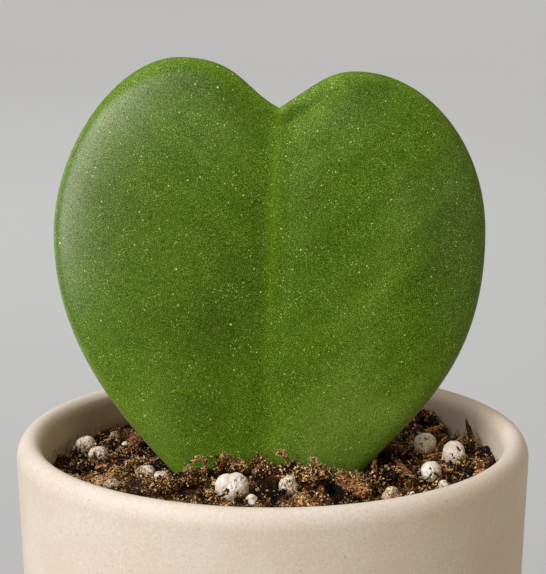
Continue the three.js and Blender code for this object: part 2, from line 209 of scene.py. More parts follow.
def closed_tube(rings, ends, flip=False):
    """A tube from rings of points. Its ends close in fans to two more points."""
    rows, around, _ = rings.shape
    grid = ring_grid(rows, around)
    fans = []
    for end, row, order in ((rows * around, grid[0], -1), (rows * around + 1, grid[-1], 1)):
        fans.append(np.stack([np.full(around, end), row[:-1], row[1:]], 1)[:, ::order])
    faces = np.concatenate([triangles(grid), *fans])
    return np.concatenate([rings.reshape(-1, 3), ends]), faces[:, ::-1] if flip else faces


def rings_along(paths, radii, sides, beside):
    """A ring of points round each point of each path. No path may run along the direction beside."""
    ahead = unit(np.gradient(paths, axis=-2))
    across = unit(np.cross(ahead, beside))[..., None, :]
    up = np.cross(ahead[..., None, :], across)
    angle = np.linspace(0, 2 * math.pi, sides, endpoint=False)[:, None]
    return paths[..., None, :] + radii[..., None, None] * (np.cos(angle) * across + np.sin(angle) * up)


def merged(parts):
    """Several (points, faces) as one."""
    offsets = np.cumsum([0] + [len(points) for points, _ in parts])
    points = np.concatenate([p for p, _ in parts])
    faces = np.concatenate([f + offset for (_, f), offset in zip(parts, offsets)])
    return points, faces


def repeated(faces, each, count):
    """The same faces for many copies of equally many points."""
    return (faces + each * np.arange(count)[:, None, None]).reshape(-1, 3)


def new_piece(name, points, faces, smooth=True):
    """An object from points in millimetres and rows of point numbers."""
    mesh = bpy.data.meshes.new(name)
    count, corners = faces.shape
    mesh.vertices.add(len(points))
    mesh.vertices.foreach_set("co", (np.asarray(points, float) * MM).ravel())
    mesh.loops.add(count * corners)
    mesh.loops.foreach_set("vertex_index", faces.astype(np.int32).ravel())
    mesh.polygons.add(count)
    mesh.polygons.foreach_set("loop_start", np.arange(0, count * corners, corners, dtype=np.int32))
    mesh.update(calc_edges=True)
    mesh.polygons.foreach_set("use_smooth", np.full(count, smooth))
    piece = bpy.data.objects.new(name, mesh)
    bpy.context.scene.collection.objects.link(piece)
    return piece


def points_of(piece):
    """The piece's points in millimetres."""
    co = np.zeros(len(piece.data.vertices) * 3)
    piece.data.vertices.foreach_get("co", co)
    return co.reshape(-1, 3) / MM


def finished(piece, slot, material, *nodes, **attributes):
    """Gives a piece its attributes, material, body and slot, and hides the nodes that it stands for. The slot
    argument is not used.
    """
    for name, values in attributes.items():
        attribute = piece.data.attributes.new(name, "FLOAT", "POINT")
        attribute.data.foreach_set("value", np.asarray(values, np.float32))
    piece.data.materials.append(material)
    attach(piece, BODY)
    if nodes:
        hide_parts(*nodes)


def icosphere(level):
    """Points on the unit sphere and triangles between them."""
    mesh = bpy.data.meshes.new("ico")
    made = bmesh.new()
    bmesh.ops.create_icosphere(made, subdivisions=level, radius=1)
    made.to_mesh(mesh)
    made.free()
    points = np.array([v.co for v in mesh.vertices])
    faces = np.array([p.vertices for p in mesh.polygons])
    bpy.data.meshes.remove(mesh)
    return points, faces


def turns(random, count):
    """Random rotation matrices."""
    return np.array([Quaternion(q).normalized().to_matrix() for q in random.normal(size=(count, 4))])


# Materials

class Nodes:
    """Short ways to add nodes to a tree. A source is a plain value or another node's output."""

    def __init__(self, tree):
        self.tree = tree

    def join(self, source, socket):
        if isinstance(source, bpy.types.NodeSocket):
            self.tree.links.new(source, socket)
        else:
            socket.default_value = (*source, 1) if socket.type == "RGBA" else source

    def add(self, kind, output, sources, **settings):
        """One output of a new node, with its settings made and its sockets joined to their sources."""
        node = self.tree.nodes.new("ShaderNode" + kind)
        for name, value in settings.items():
            setattr(node, name, value)
        for socket, source in sources.items():
            self.join(source, node.inputs[socket])
        return node.outputs[output]

    def axis(self, place, name):
        return self.add("SeparateXYZ", name, {0: place})

    def ramp(self, value, low, high, to_low=0.0, to_high=1.0):
        """value brought from low..high to to_low..to_high, smoothly and clamped."""
        return self.add("MapRange", "Result", {
            "Value": value, "From Min": low, "From Max": high, "To Min": to_low, "To Max": to_high,
        }, interpolation_type="SMOOTHSTEP")


class Paint(Nodes):
    """A node material with a Principled shader, whose colours are laid one over the other on its body."""

    def __init__(self, name, roughness, specular):
        self.material = bpy.data.materials.new(name)
        self.material.use_nodes = True
        super().__init__(self.material.node_tree)
        self.shader = self.tree.nodes["Principled BSDF"].inputs
        self.shader["Roughness"].default_value = roughness
        self.shader["Specular IOR Level"].default_value = specular
        place = self.add("TexCoord", "Object", {})
        self.place = self.add("VectorMath", 0, {0: place, "Scale": 1 / MM}, operation="SCALE")
        self.body = None

    def noise(self, wave, detail=2, roughness=0.5, stretch=None, lean=0):
        """Noise from 0 to 1 with a wavelength in millimetres, longer along an axis or a leaning line."""
        place = self.place
        if stretch:
            sources = {"Vector": place, "Angle": math.radians(lean)}
            turned = self.add("VectorRotate", 0, sources, rotation_type="Y_AXIS")
            place = self.add("VectorMath", 0, {0: turned, 1: stretch}, operation="MULTIPLY")
        return self.add("TexNoise", "Fac", {
            "Vector": place, "Scale": 1 / wave, "Detail": detail, "Roughness": roughness,
        })

    def distance(self, middle):
        """Distance in millimetres from a point."""
        return self.add("VectorMath", "Value", {0: self.place, 1: middle}, operation="DISTANCE")

    def attribute(self, name):
        return self.add("Attribute", "Fac", {}, attribute_name=name)

    def math(self, operation, a, b):
        return self.add("Math", 0, {0: a, 1: b}, operation=operation)

    def times(self, a, b):
        return self.math("MULTIPLY", a, b)

    def mix(self, factor, a, b):
        """Colour a with colour b laid over it."""
        return self.add("Mix", "Result", {"Factor": factor, "A": a, "B": b}, data_type="RGBA")

    def lay(self, factor, colour):
        """Lays one more colour over the body."""
        self.body = self.mix(factor, self.body, colour)

    def bands(self, value, *stops):
        """A colour for each place along value: stops are (place, colour)."""
        shown = self.add("ValToRGB", "Color", {0: value})
        steps = shown.node.color_ramp.elements
        while len(steps) < len(stops):
            steps.new(0.5)
        for step, (place, colour) in zip(steps, stops):
            step.position = place
            step.color = (*colour, 1)
        return shown

    def dot(self, colour, *kinds):
        """Lays round dots. A kind has its wave, its reach in waves, the share left bare and its strength."""
        for wave, reach, bare, strength in kinds:
            near = self.add("TexVoronoi", "Distance", {"Vector": self.place, "Scale": 1 / wave})
            own = near.node.outputs["Color"]
            dots = self.times(self.ramp(near, reach, reach * 0.4), self.ramp(own, bare, bare + 0.1))
            self.lay(self.times(dots, strength), colour)

    def bump(self, *layers):
        """Layers of (height from 0 to 1, depth in millimetres), coarse first."""
        below = {}
        for height, depth in layers:
            below["Normal"] = self.add("Bump", "Normal", {"Height": height, "Distance": depth * MM, **below})
        self.join(below["Normal"], self.shader["Normal"])

    def done(self, roughness=None):
        """Joins the body's colour, and roughness if it varies, to the shader."""
        self.join(self.body, self.shader["Base Color"])
        if roughness is not None:
            self.join(roughness, self.shader["Roughness"])
        return self.material


def stoneware_paint():
    """Matt cream stoneware with faint clouds, fine grain, soil stains above the mix, and a damp stain with
    painted shade at the back inside and on the back right of the lip.
    """
    paint = Paint("stoneware", roughness=0.5, specular=0.4)
    clouds = paint.ramp(paint.noise(13, detail=3), 0.35, 0.65)
    paint.body = paint.mix(clouds, (0.695, 0.555, 0.393), (0.735, 0.604, 0.444))
    grain = paint.noise(0.42, detail=3, roughness=0.7)
    paint.lay(paint.ramp(grain, 0.55, 0.3, 0.0, 0.4), (0.56, 0.43, 0.29))
    paint.lay(paint.ramp(grain, 0.52, 0.72, 0.0, 0.4), (0.84, 0.75, 0.62))
    paint.dot((0.27, 0.17, 0.09), (0.8, 0.24, 0.5, 0.22), (1.7, 0.15, 0.5, 0.3), (4.1, 0.06, 0.4, 0.5))
    # Damp stain and painted shade: darker and warmer at the back of the inner wall, and the leaf's painted
    # shadow on the back right of the lip.
    paint.lay(paint.attribute("damp"), (0.27, 0.165, 0.055))
    smears = paint.ramp(paint.noise(0.7, detail=4, stretch=(1, 1, 0.4)), 0.42, 0.62)
    paint.lay(paint.times(paint.times(paint.attribute("soiled"), smears), 0.6), (0.10, 0.052, 0.022))
    paint.bump((paint.noise(2.2), 0.03), (grain, 0.025))
    return paint.done(roughness=paint.ramp(grain, 0.2, 0.8, 0.44, 0.62))


def leaf_paint():
    """Satin green flesh with fine pale grain: limy at the midrib and rim, with painted sheen on the lit
    shoulder and broad patches of painted light and shade.
    """
    paint = Paint("leaf_flesh", roughness=0.4, specular=0.35)
    deep, green, fresh = (0.032, 0.094, 0.0003), (0.046, 0.123, 0.0004), (0.083, 0.180, 0.0005)
    pore, dark = (0.003, 0.011, 0.0001), paint.attribute("dark")
    paint.body = paint.mix(paint.ramp(paint.noise(11, detail=3), 0.36, 0.64), deep, green)
    paint.lay(paint.ramp(paint.noise(3.2, detail=3), 0.42, 0.75, 0.0, 0.35), fresh)
    paint.lay(paint.times(paint.attribute("vein"), 0.6), fresh)
    paint.lay(paint.times(paint.attribute("midrib"), 0.75), (0.120, 0.225, 0.0006))
    # Painted light: the flesh grows fresher and brighter towards the foot, to lift the shade near the mix.
    paint.lay(paint.ramp(paint.axis(paint.place, "Z"), 98, 72, 0.0, 0.8), fresh)
    paint.lay(paint.attribute("lime"), (0.150, 0.285, 0.0006))
    # Painted light from the broad patches and from the swelling on the right half.
    paint.lay(paint.attribute("light"), (0.165, 0.285, 0.026))
    # Painted sheen and painted highlight on the lit left shoulder and margin, and grey painted sheen in the
    # broad patches.
    paint.lay(paint.attribute("bloom"), (0.320, 0.370, 0.215))
    # Painted shade from the broad patches.
    paint.lay(dark, (0.0, 0.0, 0.0))
    grain = paint.noise(0.12, detail=1)
    strokes = paint.noise(0.1, detail=1, stretch=(0.45, 1, 1), lean=52)
    strewn = paint.math("SUBTRACT", paint.ramp(paint.noise(4), 0.3, 0.7, 0.5, 1.0), dark)
    paint.lay(paint.ramp(grain, 0.5, 0.28, 0.0, 0.9), pore)
    paint.lay(paint.ramp(strokes, 0.47, 0.26, 0.0, 0.75), pore)
    paint.lay(paint.ramp(grain, 0.52, 0.78, 0.0, 0.85), (0.30, 0.43, 0.05))
    paint.lay(paint.times(paint.ramp(strokes, 0.59, 0.77), strewn), (0.50, 0.62, 0.14))
    paint.dot((0.68, 0.76, 0.28), (0.62, 0.18, 0.6, 0.9), (1.3, 0.12, 0.5, 1.0), (4.2, 0.06, 0.5, 1.0))
    paint.bump((paint.noise(2.4), 0.06), (strokes, 0.03), (grain, 0.02))
    for name, value in (("Specular Tint", (0.80, 1.0, 0.15)), ("Subsurface Weight", 0.05),
                        ("Subsurface Radius", (0.8, 1.0, 0.1)), ("Subsurface Scale", 0.7 * MM)):
        paint.join(value, paint.shader[name])
    return paint.done(roughness=paint.ramp(grain, 0.38, 0.62, 0.60, 0.30))


def toned_paint(name, roughness, specular, grain, low, swing, stops, depth=0):
    """Runs through the stops by the tone of each place, which the grain shifts by up to swing."""
    paint = Paint(name, roughness, specular)
    streaks = paint.noise(**grain)
    shift = paint.ramp(streaks, low, 1 - low, -swing, swing)
    paint.body = paint.bands(paint.math("ADD", paint.attribute("tone"), shift), *stops)
    if depth:
        paint.bump((streaks, depth))
    return paint.done()


def earth_paint():
    """Peat and coir: from near black through warm browns to straw."""
    return toned_paint("potting_mix", 0.7, 0.12, {"wave": 0.19, "roughness": 0.6}, 0.35, 0.42, (
        (0.08, (0.0020, 0.0005, 0.0001)),
        (0.32, (0.026, 0.0085, 0.0012)),
        (0.56, (0.125, 0.047, 0.0100)),
        (0.76, (0.43, 0.155, 0.034)),
        (0.96, (0.98, 0.61, 0.255)),
    ), depth=0.14)


def bark_paint():
    return toned_paint("bark", 0.7, 0.25, {"wave": 0.32, "detail": 4, "roughness": 0.7}, 0.35, 0.55, (
        (0.05, (0.010, 0.0035, 0.0010)),
        (0.38, (0.090, 0.028, 0.0065)),
        (0.66, (0.40, 0.120, 0.020)),
        (1.00, (0.70, 0.36, 0.11)),
    ), depth=0.14)


def fibre_paint():
    return toned_paint("fibre", 0.5, 0.25, {"wave": 0.5}, 0.3, 0.18, (
        (0.0, (0.016, 0.0055, 0.0015)),
        (0.35, (0.165, 0.068, 0.016)),
        (0.70, (0.57, 0.26, 0.060)),
        (1.0, (0.98, 0.69, 0.32)),
    ))


def perlite_paint():
    """Off-white foam with a speckled brown film, pits painted dark as their shade, and dirt round its foot.
    """
    paint = Paint("perlite", roughness=0.85, specular=0.25)
    dirt = paint.attribute("dirt")
    clouds = paint.ramp(paint.noise(1.3, detail=3), 0.35, 0.68)
    paint.body = paint.mix(clouds, (0.74, 0.61, 0.44), (0.92, 0.82, 0.69))
    paint.lay(paint.ramp(paint.noise(1.9, detail=1), 0.46, 0.66, 0.0, 0.6), (0.66, 0.58, 0.34))
    bound = paint.math("SUBTRACT", 0.64, paint.times(dirt, 0.2))
    film = paint.math("SUBTRACT", paint.noise(0.4, detail=3, roughness=0.7), bound)
    specks = paint.bands(paint.noise(0.2, detail=1), (0.38, (0.04, 0.015, 0.004)), (0.52, (0.30, 0.13, 0.03)),
                         (0.62, (0.84, 0.64, 0.32)))
    paint.lay(paint.ramp(film, 0.0, 0.05, 0.0, 0.95), specks)
    paint.dot((0.12, 0.055, 0.02), (0.45, 0.22, 0.5, 0.7), (1.1, 0.12, 0.4, 0.9))
    paint.lay(paint.ramp(dirt, 1.6, 2.2), (0.030, 0.012, 0.004))
    # Painted shade in the pits.
    paint.lay(paint.ramp(paint.attribute("pit"), 0.2, 0.7), (0.022, 0.009, 0.003))
    paint.bump((paint.noise(0.3, detail=3, roughness=0.6), 0.09))
    return paint.done()


# Pot

def inner_radius(z):
    return RIM_RADIUS - WALL - TAPER * (POT_HEIGHT - LIP_IN_DROP - z)


def arc(centre, radii, start, end):
    """Points on a quarter of an ellipse, as radius and height, angles in degrees."""
    angle = np.radians(np.linspace(start, end, ARC_STEPS + 1))
    return np.stack([centre[0] + radii[0] * np.cos(angle), centre[1] + radii[1] * np.sin(angle)], 1)


def pot_profile():
    base = RIM_RADIUS - TAPER * (POT_HEIGHT - LIP_OUT_DROP)
    crest = RIM_RADIUS - LIP_OUT
    round_centre = base + TAPER * BASE_ROUND - BASE_ROUND
    foot_inner = round_centre - FOOT_WIDTH
    foot_slope = foot_inner - FOOT_RECESS / 2
    fillet_top = FLOOR_TOP + FLOOR_FILLET
    lip_in = WALL - LIP_OUT
    inner_heights = np.concatenate([np.arange(72, 66, -0.5), np.arange(60, fillet_top, -10)])
    return np.concatenate([
        [(r, FOOT_RECESS) for r in (DRAIN_RADIUS, DRAIN_RADIUS + CRISP, foot_slope - CRISP, foot_slope)],
        [(foot_inner, 0), (foot_inner + CRISP, 0)],
        arc((round_centre, BASE_ROUND), (BASE_ROUND, BASE_ROUND), -90, 0),
        arc((crest, POT_HEIGHT - LIP_OUT_DROP), (LIP_OUT, LIP_OUT_DROP), 0, 90),
        arc((crest, POT_HEIGHT - LIP_IN_DROP), (lip_in, LIP_IN_DROP), 90, 180)[1:],
        np.stack([inner_radius(inner_heights), inner_heights], 1),
        arc((inner_radius(fillet_top) - FLOOR_FILLET, fillet_top), (FLOOR_FILLET, FLOOR_FILLET), 0, -90),
        [(DRAIN_RADIUS, FLOOR_TOP), (DRAIN_RADIUS, FOOT_RECESS + CRISP)],
    ])


def build_pot():
    profile = pot_profile()
    angle = np.linspace(0, 2 * math.pi, POT_SIDES, endpoint=False)
    radius, height = profile.T
    points = np.stack([
        np.outer(np.cos(angle), radius),
        np.outer(np.sin(angle), radius),
        np.broadcast_to(height, (POT_SIDES, len(profile))),
    ], 2).reshape(-1, 3)
    grid = np.arange(len(points)).reshape(POT_SIDES, len(profile))
    piece = new_piece("pot_body", points, triangles(np.pad(grid, ((0, 1), (0, 1)), mode="wrap")))
    x, y, z = points.T
    away = np.hypot(x, y)
    inside = (away < RIM_RADIUS - WALL + 0.5) & (z > FLOOR_TOP - 1)
    lip = (z > LIP_FOOT) & ~inside & (away < RIM_RADIUS - 0.3)
    # Painted shade with a damp stain: the back of the inner wall, and the back right of the lip where the
    # leaf's shadow falls.
    damp = 0.6 * smoothstep((y - 10) / 16) * (inside + lip * smoothstep(x / 14))
    soiled = inside * smoothstep((SOIL_LEVEL + 2.0 - z) / 2)
    finished(piece, "stoneware", stoneware_paint(), "pot", soiled=soiled, damp=damp)


# Leaf

def bezier(a, b, c, d, steps=80):
    t = np.linspace(0, 1, steps + 1)[:, None]
    a, b, c, d = (np.array(p, float) for p in (a, b, c, d))
    return a * (1 - t) ** 3 + 3 * b * t * (1 - t) ** 2 + 3 * c * t * t * (1 - t) + d * t ** 3


def margin_side(side):
    """One side of the margin from the notch to the stalk, in the leaf's own plane."""
    s = side["sign"]
    top = (s * side["lobe"][0], side["lobe"][1])
    wide = (s * side["widest"][0], side["widest"][1])
    foot = (s * STALK_RADIUS, BLADE_FOOT)
    nx, nz = side["notch_handle"]
    fx, fz = side["foot_handle"]
    before, after = side["lobe_handles"]
    above, below = side["widest_handles"]
    path = np.concatenate([
        bezier(NOTCH, (NOTCH[0] + s * nx, NOTCH[1] + nz), (top[0] - s * before, top[1]), top),
        bezier(top, (top[0] + s * after, top[1]), (wide[0], wide[1] + above), wide)[1:],
        bezier(wide, (wide[0], wide[1] - below), (foot[0] + s * fx, foot[1] + fz), foot)[1:],
    ])
    run = np.concatenate([[0], np.cumsum(np.linalg.norm(np.diff(path, axis=0), axis=1))])
    at = np.linspace(0, run[-1], MARGIN_STEPS + 1)
    spaced = np.stack([np.interp(at, run, path[:, k]) for k in (0, 1)], 1)
    return np.concatenate([spaced, [(0, BLADE_FOOT - 1)]])


def margin_distance(points, margins):
    nearest = np.full(len(points), np.inf)
    for line in margins:
        for start, end in zip(line[:-1], line[1:]):
            edge = end - start
            share = np.clip((points - start) @ edge / (edge @ edge), 0, 1)
            nearest = np.minimum(nearest, np.linalg.norm(points - start - share[:, None] * edge, axis=1))
    return nearest


def midrib_share(z):
    return np.clip(z / NOTCH[1], 0, 1)


def midrib_x(z):
    return lerp(MIDRIB_START, NOTCH[0], midrib_share(z))


def half_thickness(distance):
    rounding = np.sqrt(1 - (1 - np.minimum(distance / EDGE_ROUND, 1)) ** 2)
    return 0.5 * (EDGE_THICK * rounding + (MIDDLE_THICK - EDGE_THICK) * smoothstep(distance / CROWN_REACH))


def waves(x, z):
    """Soft unevenness of the flesh, with lateral veins that run up and out from the midrib."""
    side = np.abs(x - midrib_x(z))
    veins = 0.05 * np.cos((z - 0.75 * side) / 1.5 + 2 * noise(x / 9, z / 9)) * smoothstep(side / 6)
    return veins + 0.10 * noise(x / 7.5, z / 9) + 0.035 * noise(x / 2.9 + 8, z / 3.3)


def leaf_surface(points, distance, back):
    """How far each point of the front or the back stands behind the leaf's plane."""
    x, z = points.T
    bend = CUP * (x / HALF_WIDTH) ** 2 + CURL * np.exp(-distance / CURL_REACH)
    fade = np.minimum(distance / EDGE_ROUND, 1)
    rib = x - midrib_x(z)
    if back:
        height = RIB_HEIGHT * (1 - midrib_share(z)) * bell(rib / RIB_WIDTH)
        return bend + half_thickness(distance) + fade * (height + waves(x + 40, z))
    up = midrib_share(z) ** 2
    valley = (VALLEY_DEPTH[0] + VALLEY_DEPTH[1] * up) * bell(rib / (VALLEY_WIDTH[0] + VALLEY_WIDTH[1] * up))
    return bend - half_thickness(distance) + fade * (valley + waves(x, z))


def line_shares(length):
    edge = min(EDGE_ROUND / length, 0.5)
    body = (1 - edge) * np.linspace(0, 1, BODY_STEPS + 1) ** 1.2
    rounding = 1 - edge * (1 - np.sin(np.radians(np.linspace(0, 90, EDGE_STEPS + 1)[1:])))
    return np.concatenate([body, rounding])


def blade_quarter(margin, margins, back):
    """Points of one side of the front or back, in rows from the midrib to the margin."""
    z = np.linspace(MIDRIB_TOP, MIDRIB_FOOT, len(margin))
    starts = np.stack([midrib_x(z), z], 1)
    shares = np.array([line_shares(np.linalg.norm(end - start)) for start, end in zip(starts, margin)])
    flat = (starts[:, None] + shares[..., None] * (margin - starts)[:, None]).reshape(-1, 2)
    depth = leaf_surface(flat, margin_distance(flat, margins), back)
    return np.stack([flat[:, 0], depth, flat[:, 1]], 1), shares.shape


def rod(path, radius, sides=10):
    """A closed round tube along a path."""
    path = np.array(path, float)
    rings = rings_along(path, np.broadcast_to(radius, len(path)), sides, (0.31, 0.95, 0.05))
    return closed_tube(rings, path[[0, -1]], flip=True)


def weld(piece):
    """Joins points that coincide, and drops a face that then lies folded on the leaf's seam."""
    made = bmesh.new()
    made.from_mesh(piece.data)
    bmesh.ops.remove_doubles(made, verts=made.verts, dist=WELD_REACH * MM)
    folded = [face for face in made.faces if sum(edge.is_boundary for edge in face.edges) > 1]
    bmesh.ops.delete(made, geom=folded, context="FACES")
    bmesh.ops.recalc_face_normals(made, faces=made.faces)
    made.to_mesh(piece.data)
    made.free()


def united(piece, others):
    """Fuses other closed pieces into this one."""
    for other in others:
        join = piece.modifiers.new("join", "BOOLEAN")
        join.operation = "UNION"
        join.solver = "MANIFOLD"
        join.object = other
    bpy.context.view_layer.update()
    whole = bpy.data.meshes.new_from_object(piece.evaluated_get(bpy.context.evaluated_depsgraph_get()))
    piece.modifiers.clear()
    piece.data = whole
    piece.data.materials.clear()
    for other in others:
        bpy.data.objects.remove(other)


def root_path(random, k):
    turn = 2 * math.pi * (k + 0.5 * random.random()) / ROOTS
    spread = random.uniform(5, 9)
    length = random.uniform(13, 19)
    t = np.linspace(0, 1, 14)
    away = spread * t ** 1.3
    swing = turn + 0.35 * np.sin(3 * t + k)
    down = BLADE_FOOT - STALK_LENGTH + 1 - length * t
    return np.stack([away * np.cos(swing), away * np.sin(swing), down], 1)


def vein_streaks(x, z):
    """Faint streaks along the lateral veins, from 0 to 1."""
    side = np.abs(x - midrib_x(z))
    across = z - 0.85 * side + 40 * (x > 0)
    streak = noise(across / 3.1, side / 19) + 0.5 * noise(across / 1.5 + 9, side / 13)
    return smoothstep(0.5 + 0.55 * streak) * smoothstep(side / 5)


def lime_rim(x, z, distance):
    """Yellower flesh along the margin: a thin line, broad only low on the left, faint down the right."""
    top = smoothstep((z - 50) / 11)
    low = smoothstep((24 - z) / 16)
    left = smoothstep(0.5 - x / 12)
    width = 0.6 + 1.0 * top + 2.2 * low * left + 0.3 * noise(x / 3, z / 3)
    strength = lerp(lerp(0.1, 0.25, top), lerp(0.75, 0.3, top) + 0.2 * low, left)
    return strength * smoothstep((width - distance) / (0.7 * width))


def bloom_share(x, z, distance):
    """Painted sheen: strong just inside the upper left margin, thin over the rest of the left half, with a
    painted highlight line along the left margin.
    """
    inside = smoothstep((distance - 0.4 - 1.1 * smoothstep((z - 56) / 8)) / 1.1)
    strip = smoothstep((-x - 6) / 15) * smoothstep((z - 20) / 24) * inside
    haze = smoothstep((2 - x) / 32) * smoothstep((z + 6) / 50)
    strip *= 1 - 0.5 * smoothstep((z - 55) / 8)
    edge = 0.5 * bell(distance / 0.45) * smoothstep((-x - 4) / 8) * smoothstep((58 - z) / 10)
    return 0.98 * strip * np.exp(-np.maximum(distance - 2.4, 0) / 3.4) + 0.05 * haze + edge


# Broad patches of painted light, painted sheen and painted shade on the flesh: x, z, reach along x and z,
# then how much lighter, greyer and darker they are
PATCHES = [
    (-10, 24, 7.0, 15, 0, 0, 0.38),
    (-8.5, 43, 5.0, 8, 0, 0, 0.06),
    (-25, 43, 6.5, 11, 0, 0, 0.36),
    (-8.5, 55, 5.5, 5.5, 0.12, 0.07, 0),
    (-14, 61, 6.0, 3.5, 0, 0, 0.22),
    (17, 60, 4.0, 3.0, 0, 0, 0.15),
    (11.5, 56.5, 6.5, 5.0, 0.06, 0.08, 0),
    (5.5, 47, 3.4, 12, 0, 0.05, 0.20),
    (21, 43, 4.5, 6, 0.12, 0.04, 0),
    (24.5, 33, 4.5, 9, 0, 0, 0.20),
    (29, 40, 4.5, 18, 0, 0.09, 0.24),
    (-19, 7, 5.0, 9, 0.85, 0, 0),
    (-28, 22, 3.5, 8, 0.18, 0, 0),
    (3.0, 22, 2.2, 14, 0, 0, 0.10),
    (-11.5, 10, 6.5, 4.5, 0, 0, 0.20),
    (-6.5, 23, 3.0, 7, 0, 0, 0.14),
    (-19, 24, 3.5, 4, 0, 0, 0.18),
    (13, 4.5, 5.5, 4.0, 0.85, 0, 0),
    (5.5, 17, 2.0, 4, 0.14, 0, 0),
    (23, 10, 4.5, 6, 0.40, 0, 0),
]


def patches(x, z, kind):
    return sum(patch[4 + kind] * bell(np.hypot((x - patch[0]) / patch[2], (z - patch[1]) / patch[3]))
               for patch in PATCHES)


def ridge_light(x, z):
    """Painted light of a soft swelling that climbs the right half from the foot, brightest there."""
    low = smoothstep((20 - z) / 14)
    beside = (x - 11 - 1.2 * low - 0.0058 * z * z) / (3.8 + 5.2 * low)
    return bell(beside) * (0.32 * smoothstep((48 - z) / 12) + 1.6 * smoothstep((19 - z) / 16))


def leaf_flesh(margins):
    """Blade, stalk and roots as one closed mesh, in the leaf's own plane."""
    quarters = []
    for side, margin in enumerate(margins):
        for back in (False, True):
            points, shape = blade_quarter(margin, margins, back)
            grid = np.arange(len(points)).reshape(shape)
            quarters.append((points, triangles(grid, flip=(side == 1) != back)))
    blade = new_piece("leaf_blade", *merged(quarters))
    random = random_for("leaf")
    stalk_path = [(0, 0.6 * t, BLADE_FOOT + 5 - (STALK_LENGTH + 5) * (1 - t)) for t in np.linspace(0, 1, 9)]
    rods = [new_piece("stalk", *rod(stalk_path, STALK_RADIUS, 24))]
    for k in range(ROOTS):
        path = root_path(random, k)
        rods.append(new_piece("root", *rod(path, np.linspace(0.65, 0.3, len(path)))))
    for piece in (blade, *rods):
        weld(piece)
    united(blade, rods)
    return blade


def build_leaf():
    margins = [margin_side(RIGHT_SIDE), margin_side(LEFT_SIDE)]
    blade = leaf_flesh(margins)
    x, y, z = points_of(blade).T
    stood = np.stack([
        x + LEAF_AT[0],
        y * math.cos(LEAN) + z * math.sin(LEAN) + LEAF_AT[1],
        z * math.cos(LEAN) - y * math.sin(LEAN) + SOIL_LEVEL,
    ], 1)
    blade.data.vertices.foreach_set("co", (stood * MM).ravel())
    blade.data.update()
    blade.data.shade_smooth()
    distance = margin_distance(np.stack([x, z], 1), [line[::4] for line in margins])
    finished(
        blade, "leaf_flesh", leaf_paint(), "leaf",
        midrib=bell((x - midrib_x(z) + 0.3) / (0.75 + 0.3 * midrib_share(z) ** 2)),
        vein=vein_streaks(x, z),
        lime=lime_rim(x, z, distance),
        # painted light, painted sheen and painted shade of the flesh
        light=patches(x, z, 0) + ridge_light(x, z),
        bloom=patches(x, z, 1) + bloom_share(x, z, distance),
        dark=patches(x, z, 2),
    )


# Perlite

def granules():
    """Number, middle and size of each granule node, in millimetres."""
    found = []
    for name in sorted(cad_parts):
        if name.startswith("perlite_"):
            low, high = (np.array(corner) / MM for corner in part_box(name))
            found.append((int(name[-2:]), (low + high) / 2, high - low))
    return found


GRANULES = granules()


HOLES = 22  # in each granule


def popped_lobes(random):
    count = random.integers(3, 6)
    middles = random.normal(size=(count, 3))
    middles *= (random.uniform(0.15, 0.34, count) / np.linalg.norm(middles, axis=1))[:, None]
    return np.column_stack([middles, random.uniform(0.44, 0.56, count)])


def granule_points(points, random, lobes=None):
    """A popped granule in a box of size 1: round lobes with pits, and how deep each point is in either."""
    reaches = [np.full(len(points), 0.6)]
    for *middle, size in popped_lobes(random) if lobes is None else lobes:
        along = points @ np.array(middle)
        inside = along ** 2 + size ** 2 - np.dot(middle, middle)
        reaches.append(np.where(inside > 0, along + np.sqrt(np.maximum(inside, 0)), 0))
    second, reach = np.sort(reaches, axis=0)[-2:]
    crease = bell((reach - second) / 0.035)
    reach = reach - 0.012 * crease + 0.03 * noise_3d(points, 0.4, 3) + 0.018 * noise_3d(points, 0.17, 5)
    pit = np.zeros(len(points))
    wobble = 1 + 1.2 * noise_3d(points, 0.11, 7)
    for hole, size in zip(random.normal(size=(HOLES, 3)), random.uniform(0.045, 0.09, HOLES)):
        away = np.arccos(np.clip(points @ unit(hole), -1, 1)) / size * wobble
        pit = np.maximum(pit, np.clip(1 - away ** 2, 0, 1))
    shaped = points * (reach - 0.11 * np.sqrt(pit))[:, None]
    low, high = shaped.min(0), shaped.max(0)
    return (shaped - (low + high) / 2) / (high - low), pit, crease


# How dirty a granule is, by its number, and the others. Number 18 is so coated that it looks like the mix
DIRT = {1: 0.25, 3: 0.8, 4: 0.75, 5: 0.75, 6: 0.8, 7: 0.8, 8: 1.1, 9: 0.45, 10: 0.25, 11: 0.35, 12: 0.7,
        13: 1.2, 14: 0.4, 15: 0.4, 18: 2.2, 19: 1.75}
OTHER_DIRT = 0.5

# What share of its node's width and height the seen part of a sunken granule keeps
SUNKEN = {4: (1, 0.88), 5: (0.95, 0.92), 6: (1, 0.78), 7: (0.95, 0.76), 8: (0.95, 0.68), 12: (0.8, 0.72),
          14: (0.6, 0.7), 15: (0.7, 0.7)}

